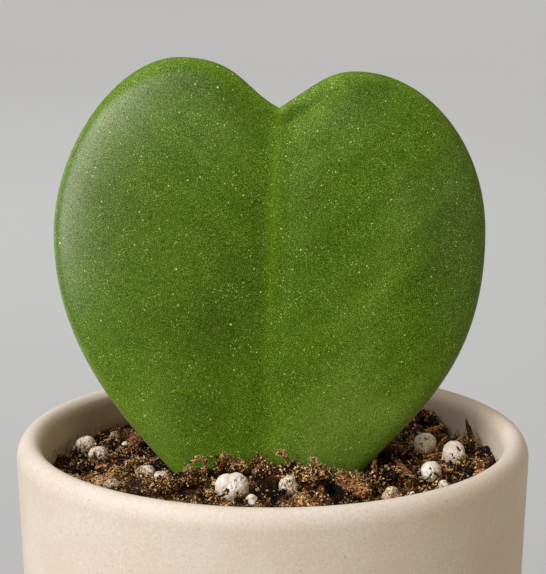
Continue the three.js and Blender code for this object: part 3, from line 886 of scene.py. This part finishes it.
# Pits, dented and painted dark as their shade, and stains seen from the front: from and to, as x and z in a
# box of size 1, then half the width
PITS = {
    1: [(-0.12, 0.08, -0.20, 0.0, 0.07), (-0.16, 0.02, -0.39, -0.26, 0.04)],
    4: [(-0.36, -0.02, -0.34, -0.06, 0.07), (-0.17, -0.08, -0.18, -0.36, 0.05),
        (0.06, 0.07, 0.08, 0.05, 0.04)],
    5: [(-0.18, 0.27, -0.02, -0.12, 0.05), (0.08, 0.05, 0.25, 0.13, 0.035)],
    6: [(-0.12, 0.0, -0.06, -0.1, 0.09)],
    10: [(-0.13, 0.12, -0.11, 0.06, 0.04), (-0.04, -0.05, -0.02, -0.06, 0.045), (0.11, 0.35, 0.25, 0.2, 0.04),
         (-0.18, -0.2, -0.15, -0.27, 0.05), (0.02, -0.23, 0.05, -0.25, 0.04)],
    11: [(0.16, 0.1, 0.22, 0.05, 0.06), (0.31, -0.03, 0.33, -0.08, 0.05), (-0.02, 0.1, -0.08, 0.0, 0.045),
         (-0.08, 0.33, -0.04, 0.3, 0.04), (-0.2, -0.2, -0.26, -0.34, 0.06)],
}
STAINS = {
    1: [(0.22, -0.1, 0.36, -0.3, 0.16)],
    5: [(-0.1, 0.0, -0.3, -0.1, 0.13)],
    6: [(-0.3, 0.1, -0.2, -0.2, 0.2)],
    10: [(0.28, -0.1, 0.34, -0.34, 0.16)],
    11: [(-0.08, -0.06, -0.12, -0.14, 0.08), (0.3, 0.1, 0.36, -0.1, 0.12)],
}

# Lobes of the granules that stand out: x, y, z and radius, in a box of about size 1
LOBES = {
    1: [(0.14, 0.0, 0.02, 0.62), (-0.20, 0.0, 0.04, 0.56), (0.0, -0.1, -0.12, 0.60),
        (-0.3, -0.15, -0.2, 0.34)],
    4: [(0.10, 0.0, 0.06, 0.60), (-0.42, -0.1, -0.16, 0.34)],
    5: [(0.0, 0.0, 0.0, 0.60), (0.2, 0.0, 0.1, 0.46)],
    9: [(0.0, 0.0, 0.0, 0.62)],
    10: [(0.0, 0.0, 0.0, 0.62), (0.16, -0.1, -0.12, 0.5)],
    11: [(0.0, 0.0, 0.0, 0.62), (0.1, 0.0, -0.14, 0.52)],
}


def marks(points, lines):
    """How strongly pits or stains along these lines show at each point of the front."""
    found = np.zeros(len(points))
    flat = points[:, [0, 2]]
    for x0, z0, x1, z1, half in lines:
        start, edge = np.array((x0, z0)), np.array((x1 - x0, z1 - z0))
        along = np.clip((flat - start) @ edge / (edge @ edge), 0, 1)
        away = np.linalg.norm(flat - start - along[:, None] * edge, axis=1)
        found = np.maximum(found, bell(away / half) * (points[:, 1] < 0.05))
    return found


def build_granules():
    paint = perlite_paint()
    fine, plain = icosphere(5), icosphere(4)
    for number, middle, size in GRANULES:
        sphere, faces = fine if size.max() > 2.4 else plain
        points, pit, crease = granule_points(sphere, random_for("granules", number), LOBES.get(number))
        carved = marks(points, PITS.get(number, []))
        points = points * (1 - 0.1 * carved)[:, None]
        width, height = SUNKEN.get(number, (1, 1))
        points = points * (width, width, height) - (0, 0, 0.5 - 0.5 * height)
        piece = new_piece(f"granule_{number:02}", points * size + middle, faces)
        foot = 0.45 * smoothstep(0.3 - 1.5 * points[:, 2])
        stained = marks(points, STAINS.get(number, []))
        dirt = DIRT.get(number, OTHER_DIRT) + foot + 0.1 * crease + 1.1 * stained
        finished(piece, "perlite", paint, f"perlite_{number:02}", pit=np.maximum(pit, carved), dirt=dirt)


# Potting mix

def bed_height(x, y, fine=1.0):
    """Height of the rough mix, which lies level round each granule."""
    z = np.full(np.shape(x), SOIL_LEVEL - BED_DROP)
    for cx, cy, height, along_x, along_y in HEAPS:
        z += height * np.exp(-(((x - cx) / along_x) ** 2 + ((y - cy) / along_y) ** 2) / 2)
    for hx, hy, depth, spread in HOLLOWS:
        z -= depth * bell(np.hypot(x - hx, y - hy) / spread)
    calm = 1.0
    for _, middle, size in GRANULES:
        calm = calm * (1 - bell(np.hypot(x - middle[0], y - middle[1]) / (CALM_REACH * size.mean() + 0.3)))
    rough = sum(height * noise(x / wave + 7 * wave, y / wave - 3 * wave) for wave, height in RELIEF)
    small = sum(height * noise(x / wave + 11, y / wave - 5 * wave) for wave, height in FINE_RELIEF)
    return z + calm * rough + fine * small


def bed_at(x, y, fine):
    return float(bed_height(np.array(x), np.array(y), fine))


def shade(x, y):
    """How much darker the mix is here: painted shade from SHADES, and random tone from the noise."""
    named = sum(strength * bell(np.hypot(x - sx, y - sy) / spread) for sx, sy, spread, strength in SHADES)
    return named + 0.3 * noise(x / 2.4 + 5, y / 3.6)


def ground(x, y, fine=1.0):
    """Height of the bed, or of the clods where they stand above it."""
    z = bed_height(x, y, fine)
    for cx, cy, size, rise, _ in CLODS:
        over = size ** 2 - (x - cx) ** 2 - (y - cy) ** 2
        middle = bed_at(cx, cy, 0) + rise * size
        z = np.where(over > 0, np.maximum(z, middle + 0.8 * np.sqrt(np.maximum(over, 0))), z)
    return z


def build_bed():
    u, v = np.meshgrid(np.linspace(-1, 1, BED_CELLS + 1), np.linspace(-1, 1, BED_CELLS + 1), indexing="ij")
    radius = inner_radius(SOIL_LEVEL) - WALL_GAP
    x = radius * u * np.sqrt(1 - v * v / 2)
    y = radius * v * np.sqrt(1 - u * u / 2)
    top = np.stack([x, y, bed_height(x, y)], 2).reshape(-1, 3)
    grid = np.arange(len(top)).reshape(u.shape)
    edge = np.concatenate([grid[:-1, 0], grid[-1, :-1], grid[:0:-1, -1], grid[0, :0:-1]])
    out = unit(top[edge][:, :2])
    fillet_top, low = FLOOR_TOP + FLOOR_FILLET, FLOOR_TOP + WALL_GAP
    levels = [(inner_radius(height) - WALL_GAP, height) for height in np.linspace(60, fillet_top, 4)]
    levels.append((inner_radius(fillet_top + WALL_GAP) - FLOOR_FILLET, low))
    rings = [np.column_stack([out * away, np.full(len(edge), level)]) for away, level in levels]
    points = np.concatenate([top, *rings, [(0, 0, low)]])
    skirt = len(top) + np.arange(len(levels) * len(edge)).reshape(len(levels), -1)
    around = np.pad(np.vstack([edge, skirt]), ((0, 0), (0, 1)), mode="wrap")
    last = around[-1]
    floor = np.stack([np.full(len(edge), len(points) - 1), last[1:], last[:-1]], 1)
    # Painted shade: the bed is darker in the hollows of its fine relief and where shade() darkens it; the
    # noise is random tone.
    above = points[:, 2] - bed_height(points[:, 0], points[:, 1], 0)
    tone = 0.11 + 0.3 * above + 0.15 * noise_3d(points, 1.1, 2) - shade(*points[:, :2].T)
    faces = np.concatenate([triangles(grid), triangles(around), floor])
    finished(new_piece("mix_bed", points, faces), "potting_mix", EARTH, "soil", tone=tone)


def in_leaf(x, y, grow):
    """True where a lump of this size would be inside the leaf's foot."""
    half = np.minimum(2.0, 0.25 * np.maximum(17.0 - np.abs(x), 0) + 0.5)
    return (np.abs(x) < 16.5 + grow) & (np.abs(y - LEAF_AT[1]) < half + grow)


def in_granule(x, y, share):
    found = np.zeros(len(x), bool)
    for _, middle, size in GRANULES:
        found |= np.hypot(x - middle[0], y - middle[1]) < share * size.mean() / 2
    return found


def scatter(random, count, room):
    """Random places on the mix, at least room from the wall, leaf and granules."""
    x = np.zeros(0)
    y = np.zeros(0)
    while len(x) < count:
        away = (inner_radius(SOIL_LEVEL) - WALL_GAP - room) * np.sqrt(random.random(count))
        turn = 2 * math.pi * random.random(count)
        px, py = away * np.cos(turn), away * np.sin(turn)
        free = ~in_leaf(px, py, room * 0.6) & ~in_granule(px, py, 0.9)
        x, y = np.concatenate([x, px[free]]), np.concatenate([y, py[free]])
    return x[:count], y[:count]


def lumps(random, level, places, sizes, jag, darkest=-0.12, span=1.2):
    """Jagged crumbs of these sizes at these places, and a tone for each point."""
    base, faces = icosphere(level)
    count = len(sizes)
    spike = random.uniform(-1, 1, (count, len(base), 1))
    squash = random.uniform(0.6, 1.3, (count, 1, 3))
    turned = np.einsum("nvi,nij->nvj", base[None] * (1 + jag * spike) * squash, turns(random, count))
    points = turned * sizes[:, None, None] + places[:, None]
    # Painted shade: points pushed in are darker and points pushed out paler.
    tone = darkest + span * random.random((count, 1)) ** 2.1 + 0.25 * spike[..., 0]
    return points.reshape(-1, 3), repeated(faces, len(base), count), tone.ravel()


def on_clods(random, count):
    """Places on the upper sides of the clods, which are picked by their size, and how dark each clod is."""
    clods = np.array(CLODS)
    area = clods[:, 2] ** 2
    x, y, size, rise, dark = clods[random.choice(len(clods), count, p=area / area.sum())].T
    way = unit(random.normal(size=(count, 3)))
    way[:, 2] = np.abs(way[:, 2])
    middle = np.stack([x, y, bed_height(x, y, 0) + rise * size], 1)
    return middle + way * np.outer(0.92 * size, (1, 1, 0.8)), dark


def on_tufts(random, count):
    """Places along the tufts, which are picked by their count of threads, with the way along and the tone."""
    share = np.array([threads for threads, *_ in TUFTS], float)
    places = np.zeros((count, 3))
    ways = np.zeros((count, 3))
    tones = np.zeros(count)
    for k, pick in enumerate(random.choice(len(TUFTS), count, p=share / share.sum())):
        _, spread, tones[k], line = TUFTS[pick]
        at = random.random() * (len(line) - 1)
        a, b = np.array(line[int(at):][:2])
        places[k] = lerp(a, b, at % 1) + spread * random.normal(size=3)
        ways[k] = unit(b - a)
    return places, ways, tones


def round_granules(random, count):
    """Places piled close round the granules, from their foot to a share of their height."""
    size = np.array([size.mean() for *_, size in GRANULES])
    pick = random.choice(len(GRANULES), count, p=size / size.sum())
    turn = 2 * math.pi * random.random(count)
    away = (0.42 + 0.16 * random.random(count)) * size[pick]
    x, y = (np.array([middle[k] for _, middle, _ in GRANULES])[pick] for k in (0, 1))
    x, y = x + away * np.cos(turn), y + away * np.sin(turn)
    keep = np.minimum(1, (inner_radius(SOIL_LEVEL) - 0.5) / np.hypot(x, y))
    x, y = x * keep, y * keep
    return np.stack([x, y, bed_height(x, y) + 0.32 * size[pick] * random.random(count)], 1)


def wall_places(random, count):
    """Places just above the mix on the inner wall."""
    turn = 2 * math.pi * random.random(count)
    z = SOIL_LEVEL + 0.2 + 1.5 * random.random(count) ** 2
    away = inner_radius(z) - 0.12
    return np.stack([away * np.cos(turn), away * np.sin(turn), z], 1)


# Crumbs: level of detail, how many lie, cling to clods, pile round granules and hang on tufts, least and
# greatest size, roughness, lift, darkest tone and span of the tones
CRUMBS = {
    "crumbs_coarse": (2, 460, 70, 30, 0, 0.28, 0.52, 0.42, 0.2, 0.0, 0.8),
    "crumbs_middle": (1, 1700, 420, 240, 0, 0.17, 0.33, 0.45, 0.6, -0.05, 1.15),
    "crumbs_fine": (1, 5600, 1700, 900, 600, 0.08, 0.20, 0.42, 1.2, -0.07, 2.0),
    "crumbs_dust": (1, 6200, 1600, 500, 0, 0.07, 0.16, 0.42, 1.6, -0.07, 2.1),
}
WALL_CRUMBS = 150


def mix_piece(name, points, faces, tone, material):
    finished(new_piece(name, points, faces, smooth=False), "potting_mix", material, tone=tone)


def build_crumbs():
    random = random_for("crumbs")
    for name, kind in CRUMBS.items():
        level, lying, clinging, piled, hanging, least, most, jag, lift, darkest, span = kind
        count = lying + clinging + piled + hanging
        sizes = lerp(least, most, random.random(count) ** 1.6)
        x, y = scatter(random, lying, most)
        z = ground(x, y) + lift * sizes[:lying] * random.uniform(-0.6, 1.0, lying)
        on_clod, dark = on_clods(random, clinging)
        on_tuft = on_tufts(random, hanging)[0] if hanging else np.zeros((0, 3))
        places = np.concatenate([np.stack([x, y, z], 1), on_clod, round_granules(random, piled), on_tuft])
        darker = shade(*places[:, :2].T)
        darker[lying:lying + clinging] += dark
        points, faces, tone = lumps(random, level, places, sizes, jag, darkest, span)
        mix_piece(name, points, faces, tone - np.repeat(darker, len(tone) // count), EARTH)
    sizes = random.uniform(0.05, 0.13, WALL_CRUMBS)
    points, faces, tone = lumps(random, 1, wall_places(random, WALL_CRUMBS), sizes, 0.42)
    mix_piece("crumbs_on_wall", points, faces, 0.6 * tone, EARTH)


# Clods: x, y, size, how far the middle stands above the mix, and how dark they are
CLODS = [
    (6.1, -9.2, 1.7, 0.1, 0.1),
    (16.6, -10.8, 1.1, 0.2, 1.0),
    (15.6, -8.4, 2.0, 0.1, 0.35),
    (18.4, -6.4, 1.9, 0.15, 0.4),
    (-17.0, -12.6, 1.9, 0.0, 0.1),
    (-13.2, -9.8, 1.6, 0.1, 0.3),
    (-9.4, -11.2, 1.4, 0.0, 0.1),
    (-7.6, -5.4, 1.5, 0.5, 0.1),
    (-1.8, -5.4, 1.4, 0.4, 0.3),
    (-1.6, -7.6, 1.6, 0.2, 0.15),
    (4.0, -7.2, 1.5, 0.1, 0.1),
    (-5.0, -6.2, 1.5, 0.3, 0.0),
    (24.2, -0.8, 1.5, 0.0, 0.4),
    (29.0, 1.0, 1.5, 0.0, 0.3),
    (33.2, 2.8, 1.1, 0.2, 0.1),
    (-24.5, -2.0, 1.5, 0.0, 0.0),
    (-29.4, 0.4, 1.7, 0.0, 0.5),
    (-21.4, 3.4, 1.8, 0.2, 0.0),
    (-23.0, 9.6, 2.0, 0.2, 0.1),
    (25.4, 22.6, 1.8, 0.9, 0.2),
    (27.4, 21.4, 1.1, 0.8, 0.25),
    (22.8, 13.4, 1.7, 0.2, 0.3),
    (31.4, 12.4, 1.4, 0.4, 0.0),
    (21.4, 9.2, 1.6, 0.1, 0.4),
]
SMALL_CLODS = 14  # more clods, at random


def build_clods():
    random = random_for("clods")
    fine, plain = icosphere(5), icosphere(4)
    small = [(x, y, random.uniform(0.9, 1.4), 0.0, 0.2) for x, y in zip(*scatter(random, SMALL_CLODS, 2.0))]
    parts = []
    tone = []
    for k, (x, y, size, rise, dark) in enumerate(CLODS + small):
        base, faces = fine if size > 1.9 else plain
        rough = sum(share * noise_3d(base * size, wave, k + wave)
                    for wave, share in ((1.3, 0.2), (0.65, 0.2), (0.36, 0.2), (0.22, 0.12)))
        squash = random.uniform(0.8, 1.15, 3) * (1, 1, 0.8)
        height = bed_at(x, y, 0) + rise * size
        parts.append((base * (0.9 + rough)[:, None] * size * squash + (x, y, height), faces))
        # Painted shade: each clod's hollows are darker and its bumps paler, by the same roughness that shapes
        # it.
        tone.append(0.34 - dark + 1.2 * rough + random.uniform(-0.1, 0.1))
    mix_piece("clods", *merged(parts), np.concatenate(tone), EARTH)


# Where some of the grit lies in the photo: x and y
GRIT_AT = [(-27.4, -2.6), (14.2, -16.9), (7.3, -16.9), (4.9, -18.8), (-3.0, -16.7), (26.5, -9.2)]
GRIT = 12  # pieces in all


def build_grit():
    """Small scraps of perlite among the crumbs."""
    random = random_for("grit")
    base, faces = icosphere(3)
    places = [*zip(*scatter(random, GRIT, 0.6))]
    parts = []
    pits = []
    for x, y in GRIT_AT + places[len(GRIT_AT):]:
        points, pit, _ = granule_points(base, random)
        size = random.uniform(0.4, 0.8)
        parts.append((points * size + (x, y, bed_at(x, y, 1) + 0.35 * size), faces))
        pits.append(pit)
    pit = np.concatenate(pits)
    piece = new_piece("perlite_grit", *merged(parts))
    finished(piece, "perlite", bpy.data.materials["perlite"], pit=pit, dirt=np.full(len(pit), 0.6))


# Bark and fibres

# Chips: x, y, length, width, thickness, heading and rise in degrees, bluntness of the ends, tone
CHIPS = [
    (11.8, -9.9, 6.8, 3.2, 0.9, -56, -4, 0.3, 0.40),
    (20.9, 1.4, 11.4, 1.05, 0.95, -74, -5, 0.15, 0.45),
    (15.9, -2.6, 2.6, 1.0, 0.9, 80, 76, 0.2, 0.30),
    (32.1, 11.0, 6.0, 0.95, 0.6, 118, 60, 0.6, -0.06),
    (26.9, 11.0, 3.2, 0.8, 0.6, 12, 57, 0.35, 0.42),
    (25.0, 23.4, 3.4, 1.3, 0.9, 100, 52, 0.4, 0.5),
    (26.2, 17.8, 3.6, 0.8, 0.7, 22, 8, 0.3, 0.55),
    (25.6, 6.0, 2.4, 1.7, 0.6, 8, 14, 0.2, 0.36),
    (20.2, 12.0, 2.2, 1.0, 0.9, 170, 14, 0.3, 0.45),
    (34.7, 3.0, 1.4, 0.25, 0.25, 90, 78, 0.2, 0.1),
    (32.4, -0.8, 2.0, 1.0, 0.5, 35, 12, 0.35, 0.85),
    (-27.2, 0.6, 1.8, 1.1, 0.5, 20, 14, 0.3, 0.8),
    (-23.3, 10.4, 2.2, 1.3, 0.5, -20, 14, 0.3, 0.6),
    (-22, 19, 6.2, 2.6, 1.1, 35, 18, 0.5, 0.35),
]
SMALL_CHIPS = 60  # more chips, at random


def ragged(angle_part):
    """A squarer curve than a cosine or sine, with the same signs."""
    return np.sign(angle_part) * np.abs(angle_part) ** 0.6


def splinter(random, length, width, thick, blunt):
    """A ragged flake or twig along X: a closed grid with grooves along its length, and a tone for each point
    that paints shade in the grooves.
    """
    t = np.linspace(0, 1, 20)[:, None]
    angle = np.linspace(0, 2 * math.pi, 12, endpoint=False)[None, :]
    outline = np.sin(math.pi * np.clip(0.08 + 0.9 * t, 0, 1)) ** blunt
    outline = outline * (1 + 0.25 * noise(t * 7 + random.uniform(0, 50), angle * 0 + 1.5))
    flat = ragged(np.cos(angle))
    wavy = 1 + 0.2 * noise(t * 16 + random.uniform(0, 50), np.sign(flat) * 3 + 0.5)
    y = 0.5 * width * outline * flat * wavy
    grooves = noise(y / (0.22 * width) + random.uniform(0, 50), t * length * 0.5)
    x = length * (t - 0.35) + 0.2 * width * noise(angle * 2.0 + random.uniform(0, 50), t * 0 + 2.5)
    bow = 0.25 * np.sin(2.2 * t + random.uniform(0, 3))
    z = thick * (0.5 * ragged(np.sin(angle)) * outline ** 0.5 + 0.2 * grooves + bow)
    rings = np.stack([np.broadcast_to(x, y.shape), y, z], 2)
    return *closed_tube(rings, rings[[0, -1]].mean(1)), np.append(0.2 * grooves.ravel(), [0, 0])


def build_bark():
    random = random_for("bark")
    chips = [(*chip, 0.35) for chip in CHIPS]
    for x, y in zip(*scatter(random, SMALL_CHIPS, 1.8)):
        length = random.uniform(0.8, 2.2)
        ranges = ((0.3, 0.6), (0, 360), (-8, 35), (0.2, 0.6), (0.15, 0.7), (-0.9, 0.9))
        width = length * random.uniform(0.18, 0.5)
        chips.append((x, y, length, width, *(random.uniform(low, high) for low, high in ranges)))
    parts = []
    tone = []
    for x, y, length, width, thick, heading, rise, blunt, paleness, roll in chips:
        points, faces, grooves = splinter(random, length, width, thick, blunt)
        turn = Euler((roll, -math.radians(rise), math.radians(heading))).to_matrix()
        lift = BED_DROP + 0.12 * length * math.sin(math.radians(max(rise, 0)))
        parts.append((points @ np.array(turn).T + (x, y, bed_at(x, y, 0) + lift), faces))
        # The groove tone is painted shade: darker in the grooves, paler on the ridges.
        tone.append(paleness + grooves)
    mix_piece("bark_chips", *merged(parts), np.concatenate(tone), bark_paint())


FIBRE_STEPS = 4
FIBRE_SIDES = 3
FIBRES = (4300, 1300)  # that lie on the mix and that cling to clods


def threads(paths, radii):
    """Thin tubes that taper along many paths of equally many points."""
    radii = radii[:, None] * np.linspace(1, 0.35, FIBRE_STEPS)
    points = rings_along(paths, radii, FIBRE_SIDES, (0.21, 0.17, 0.96))
    grid = ring_grid(FIBRE_STEPS, FIBRE_SIDES)
    one = np.concatenate([triangles(grid, flip=True), [grid[0][:3]], [grid[-1][:3][::-1]]])
    return points.reshape(-1, 3), repeated(one, FIBRE_STEPS * FIBRE_SIDES, len(paths))


def kinked(random, middles, ways, lengths):
    """Short kinked threads through these middles, along these ways."""
    count = len(middles)
    t = np.linspace(-0.5, 0.5, FIBRE_STEPS)[None, :, None]
    bend = random.normal(0, 0.35, (count, 1, 3)) * (1 - 4 * t * t)
    jitter = random.normal(0, 0.1, (count, FIBRE_STEPS, 3))
    return middles[:, None] + lengths[:, None, None] * (ways[:, None] * t + bend * 0.6 + jitter)


def level_ways(random, count, rise):
    """Directions that are mostly level."""
    return unit(random.normal(size=(count, 3)) * (1, 1, rise))


# Tufts of fibre: threads, spread, tone, and the line that they follow
TUFTS = [
    (210, 0.17, 0.86, [(-12.9, -5.0, 69.9), (-12.8, -5.2, 71.1), (-12.2, -5.2, 72.1), (-11.4, -5.2, 72.6),
                       (-10.6, -5.2, 72.3), (-10.2, -5.3, 71.5), (-10.6, -5.4, 70.5), (-11.6, -5.6, 69.9)]),
    (24, 0.10, 0.95, [(-13.9, -5.3, 70.3), (-12.8, -5.2, 71.2)]),
    (30, 0.06, 0.75, [(-9.9, -4.9, 72.6), (-8.8, -4.9, 72.6), (-7.2, -4.9, 72.6)]),
    (220, 0.42, 0.76, [(-8.4, -5.2, 70.4), (-7.8, -5.1, 71.8), (-7.2, -5.0, 72.9)]),
    (100, 0.30, 0.72, [(-7.0, -5.1, 72.0), (-5.8, -5.1, 72.1), (-4.4, -5.1, 71.7)]),
    (150, 0.36, 0.45, [(-3.4, -5.1, 71.6), (-2.2, -5.0, 72.6), (-1.2, -5.1, 71.7)]),
    (170, 0.20, 0.95, [(0.8, -5.2, 73.3), (1.5, -5.2, 73.5), (2.0, -5.3, 72.9), (2.5, -5.5, 71.8),
                       (3.2, -5.7, 70.4)]),
    (50, 0.13, 0.40, [(3.8, -5.3, 72.7), (3.1, -5.5, 71.6), (2.4, -5.7, 70.6)]),
    (150, 0.17, 0.98, [(6.1, -5.4, 72.6), (6.8, -5.5, 72.0), (7.5, -5.7, 71.3), (7.8, -5.9, 70.6)]),
    (26, 0.08, 0.65, [(7.2, -5.6, 70.9), (9.7, -5.7, 71.0)]),
    (14, 0.04, 1.05, [(12.6, -5.2, 70.9), (13.7, -6.2, 70.1), (14.2, -6.6, 69.4)]),
    (260, 0.45, 0.70, [(9.8, -7.1, 70.7), (12.4, -8.8, 70.8), (13.6, -10.6, 70.3), (14.6, -14.0, 69.5)]),
    (110, 0.42, 0.60, [(30.2, 0.2, 69.8), (32.0, 0.4, 70.0), (33.2, 0.2, 69.8)]),
    (170, 0.45, 0.85, [(30.8, 12.6, 69.9), (31.6, 12.0, 71.2), (32.3, 11.0, 70.2)]),
]


def build_fibres():
    random = random_for("fibres")
    lying, clinging = FIBRES
    hanging = sum(count for count, *_ in TUFTS)
    x, y = scatter(random, lying, 0.9)
    middles = np.stack([x, y, ground(x, y, 0.6) + random.uniform(0.05, 0.5, lying)], 1)
    tuft_middles, tuft_ways, tuft_tones = on_tufts(random, hanging)
    ways = np.concatenate([
        level_ways(random, lying, 0.45),
        level_ways(random, clinging, 0.8),
        tuft_ways + 0.6 * random.normal(size=(hanging, 3)),
    ])
    spans = ((0.3, 1.3, lying), (0.3, 1.0, clinging), (0.25, 0.75, hanging))
    lengths = np.concatenate([random.uniform(*span) for span in spans])
    clod_middles, dark = on_clods(random, clinging)
    middles = np.concatenate([middles, clod_middles, tuft_middles])
    paths = kinked(random, middles, ways, lengths)
    keep = np.minimum(1, (inner_radius(SOIL_LEVEL) - 0.3) / np.hypot(paths[..., 0], paths[..., 1]))
    paths[..., :2] *= keep[..., None]
    radii = random.uniform(0.022, 0.055, len(paths))
    radii[-hanging:] *= 1.25
    tone = 1.35 * random.random(len(paths)) ** 1.7 - 0.1
    tone[:-hanging] -= shade(*middles[:-hanging, :2].T)
    tone[lying:-hanging] -= 0.7 * dark
    tone[-hanging:] = tuft_tones - 0.15 + random.uniform(-0.8, 0.4, hanging)
    mix_piece("fibres", *threads(paths, radii), np.repeat(tone, FIBRE_STEPS * FIBRE_SIDES), fibre_paint())


# Studio

LIGHT_POOL = (-170, 480, 0)  # where the painted pool of light on the floor is brightest
POOL_REACH = 420
FLOOR_REACH = 6000
CAMERA_DISTANCE = 420
CAMERA_RISE = 13.35
CAMERA_AIM = (0.04, 0, 98.54)
LENS = 170.25
# Soft light from far away: azimuth, rise and spread in degrees, power, colour. Azimuth 0 is the camera's
# side, positive to the right
WINDOWS = {
    "key": (-63, 46, 40, 1.87, (0.87, 1.01, 1.37)),
    "second": (-40, 24, 30, 1.40, (1.0, 1.01, 1.03)),
    "overhead": (-90, 80, 60, 0.70, (0.87, 1.0, 1.35)),
    "rear": (-115, 48, 50, 0.2, (0.95, 1.0, 1.1)),
    "fill": (72, 12, 60, 0.18, (1.1, 0.98, 0.85)),
}


def aimed(name, data, azimuth, rise, away, aim=(0, 0, 0)):
    """An object that looks at the aim from this far away, in metres."""
    azimuth, rise = math.radians(azimuth), math.radians(rise)
    level = math.cos(rise)
    outward = Vector((math.sin(azimuth) * level, -math.cos(azimuth) * level, math.sin(rise)))
    holder = bpy.data.objects.new(name, data)
    bpy.context.scene.collection.objects.link(holder)
    holder.location = Vector(aim) + away * outward
    holder.rotation_euler = (-outward).to_track_quat("-Z", "Y").to_euler()
    return holder


def build_camera():
    camera = bpy.data.cameras.new("camera")
    camera.sensor_width = 36
    camera.lens = LENS
    camera.clip_start = 0.01
    camera.clip_end = 50
    aim = Vector(CAMERA_AIM) * MM
    bpy.context.scene.camera = aimed("camera", camera, 0, CAMERA_RISE, CAMERA_DISTANCE * MM, aim)


def build_floor():
    corners = [(x, y, 0) for x, y in ((-1, -1), (1, -1), (1, 1), (-1, 1))]
    floor = new_piece("floor", FLOOR_REACH * np.array(corners), np.arange(4)[None], smooth=False)
    paint = Paint("floor", roughness=0.8, specular=0.2)
    clouds = paint.ramp(paint.noise(400), 0.3, 0.7)
    paint.body = paint.mix(clouds, (0.466, 0.448, 0.386), (0.480, 0.462, 0.400))
    # Painted pool of light on the floor round LIGHT_POOL.
    pool = paint.ramp(paint.distance(LIGHT_POOL), POOL_REACH, 0.0, 0.0, 0.5)
    paint.lay(pool, (0.60, 0.588, 0.512))
    floor.data.materials.append(paint.done())


def build_light():
    for name, (azimuth, rise, spread, power, colour) in WINDOWS.items():
        light = bpy.data.lights.new(name, "SUN")
        light.angle = math.radians(spread)
        light.energy = power
        light.color = colour
        aimed(name, light, azimuth, rise, 1)
    world = bpy.data.worlds.new("studio")
    world.use_nodes = True
    nodes = Nodes(world.node_tree)
    depth = nodes.axis(nodes.add("TexCoord", "Generated", {}), "Y")
    backdrop = nodes.tree.nodes["Background"].inputs
    nodes.join(nodes.ramp(depth, -0.95, -0.4, 0.15, 0.27), backdrop["Strength"])
    nodes.join((1.10, 0.87, 0.58), backdrop["Color"])
    bpy.context.scene.world = world
    bpy.context.scene.view_settings.view_transform = "Standard"


build_camera()
build_floor()
build_light()
build_pot()
build_leaf()
build_granules()
EARTH = earth_paint()
build_bed()
build_clods()
build_crumbs()
build_grit()
build_bark()
build_fibres()
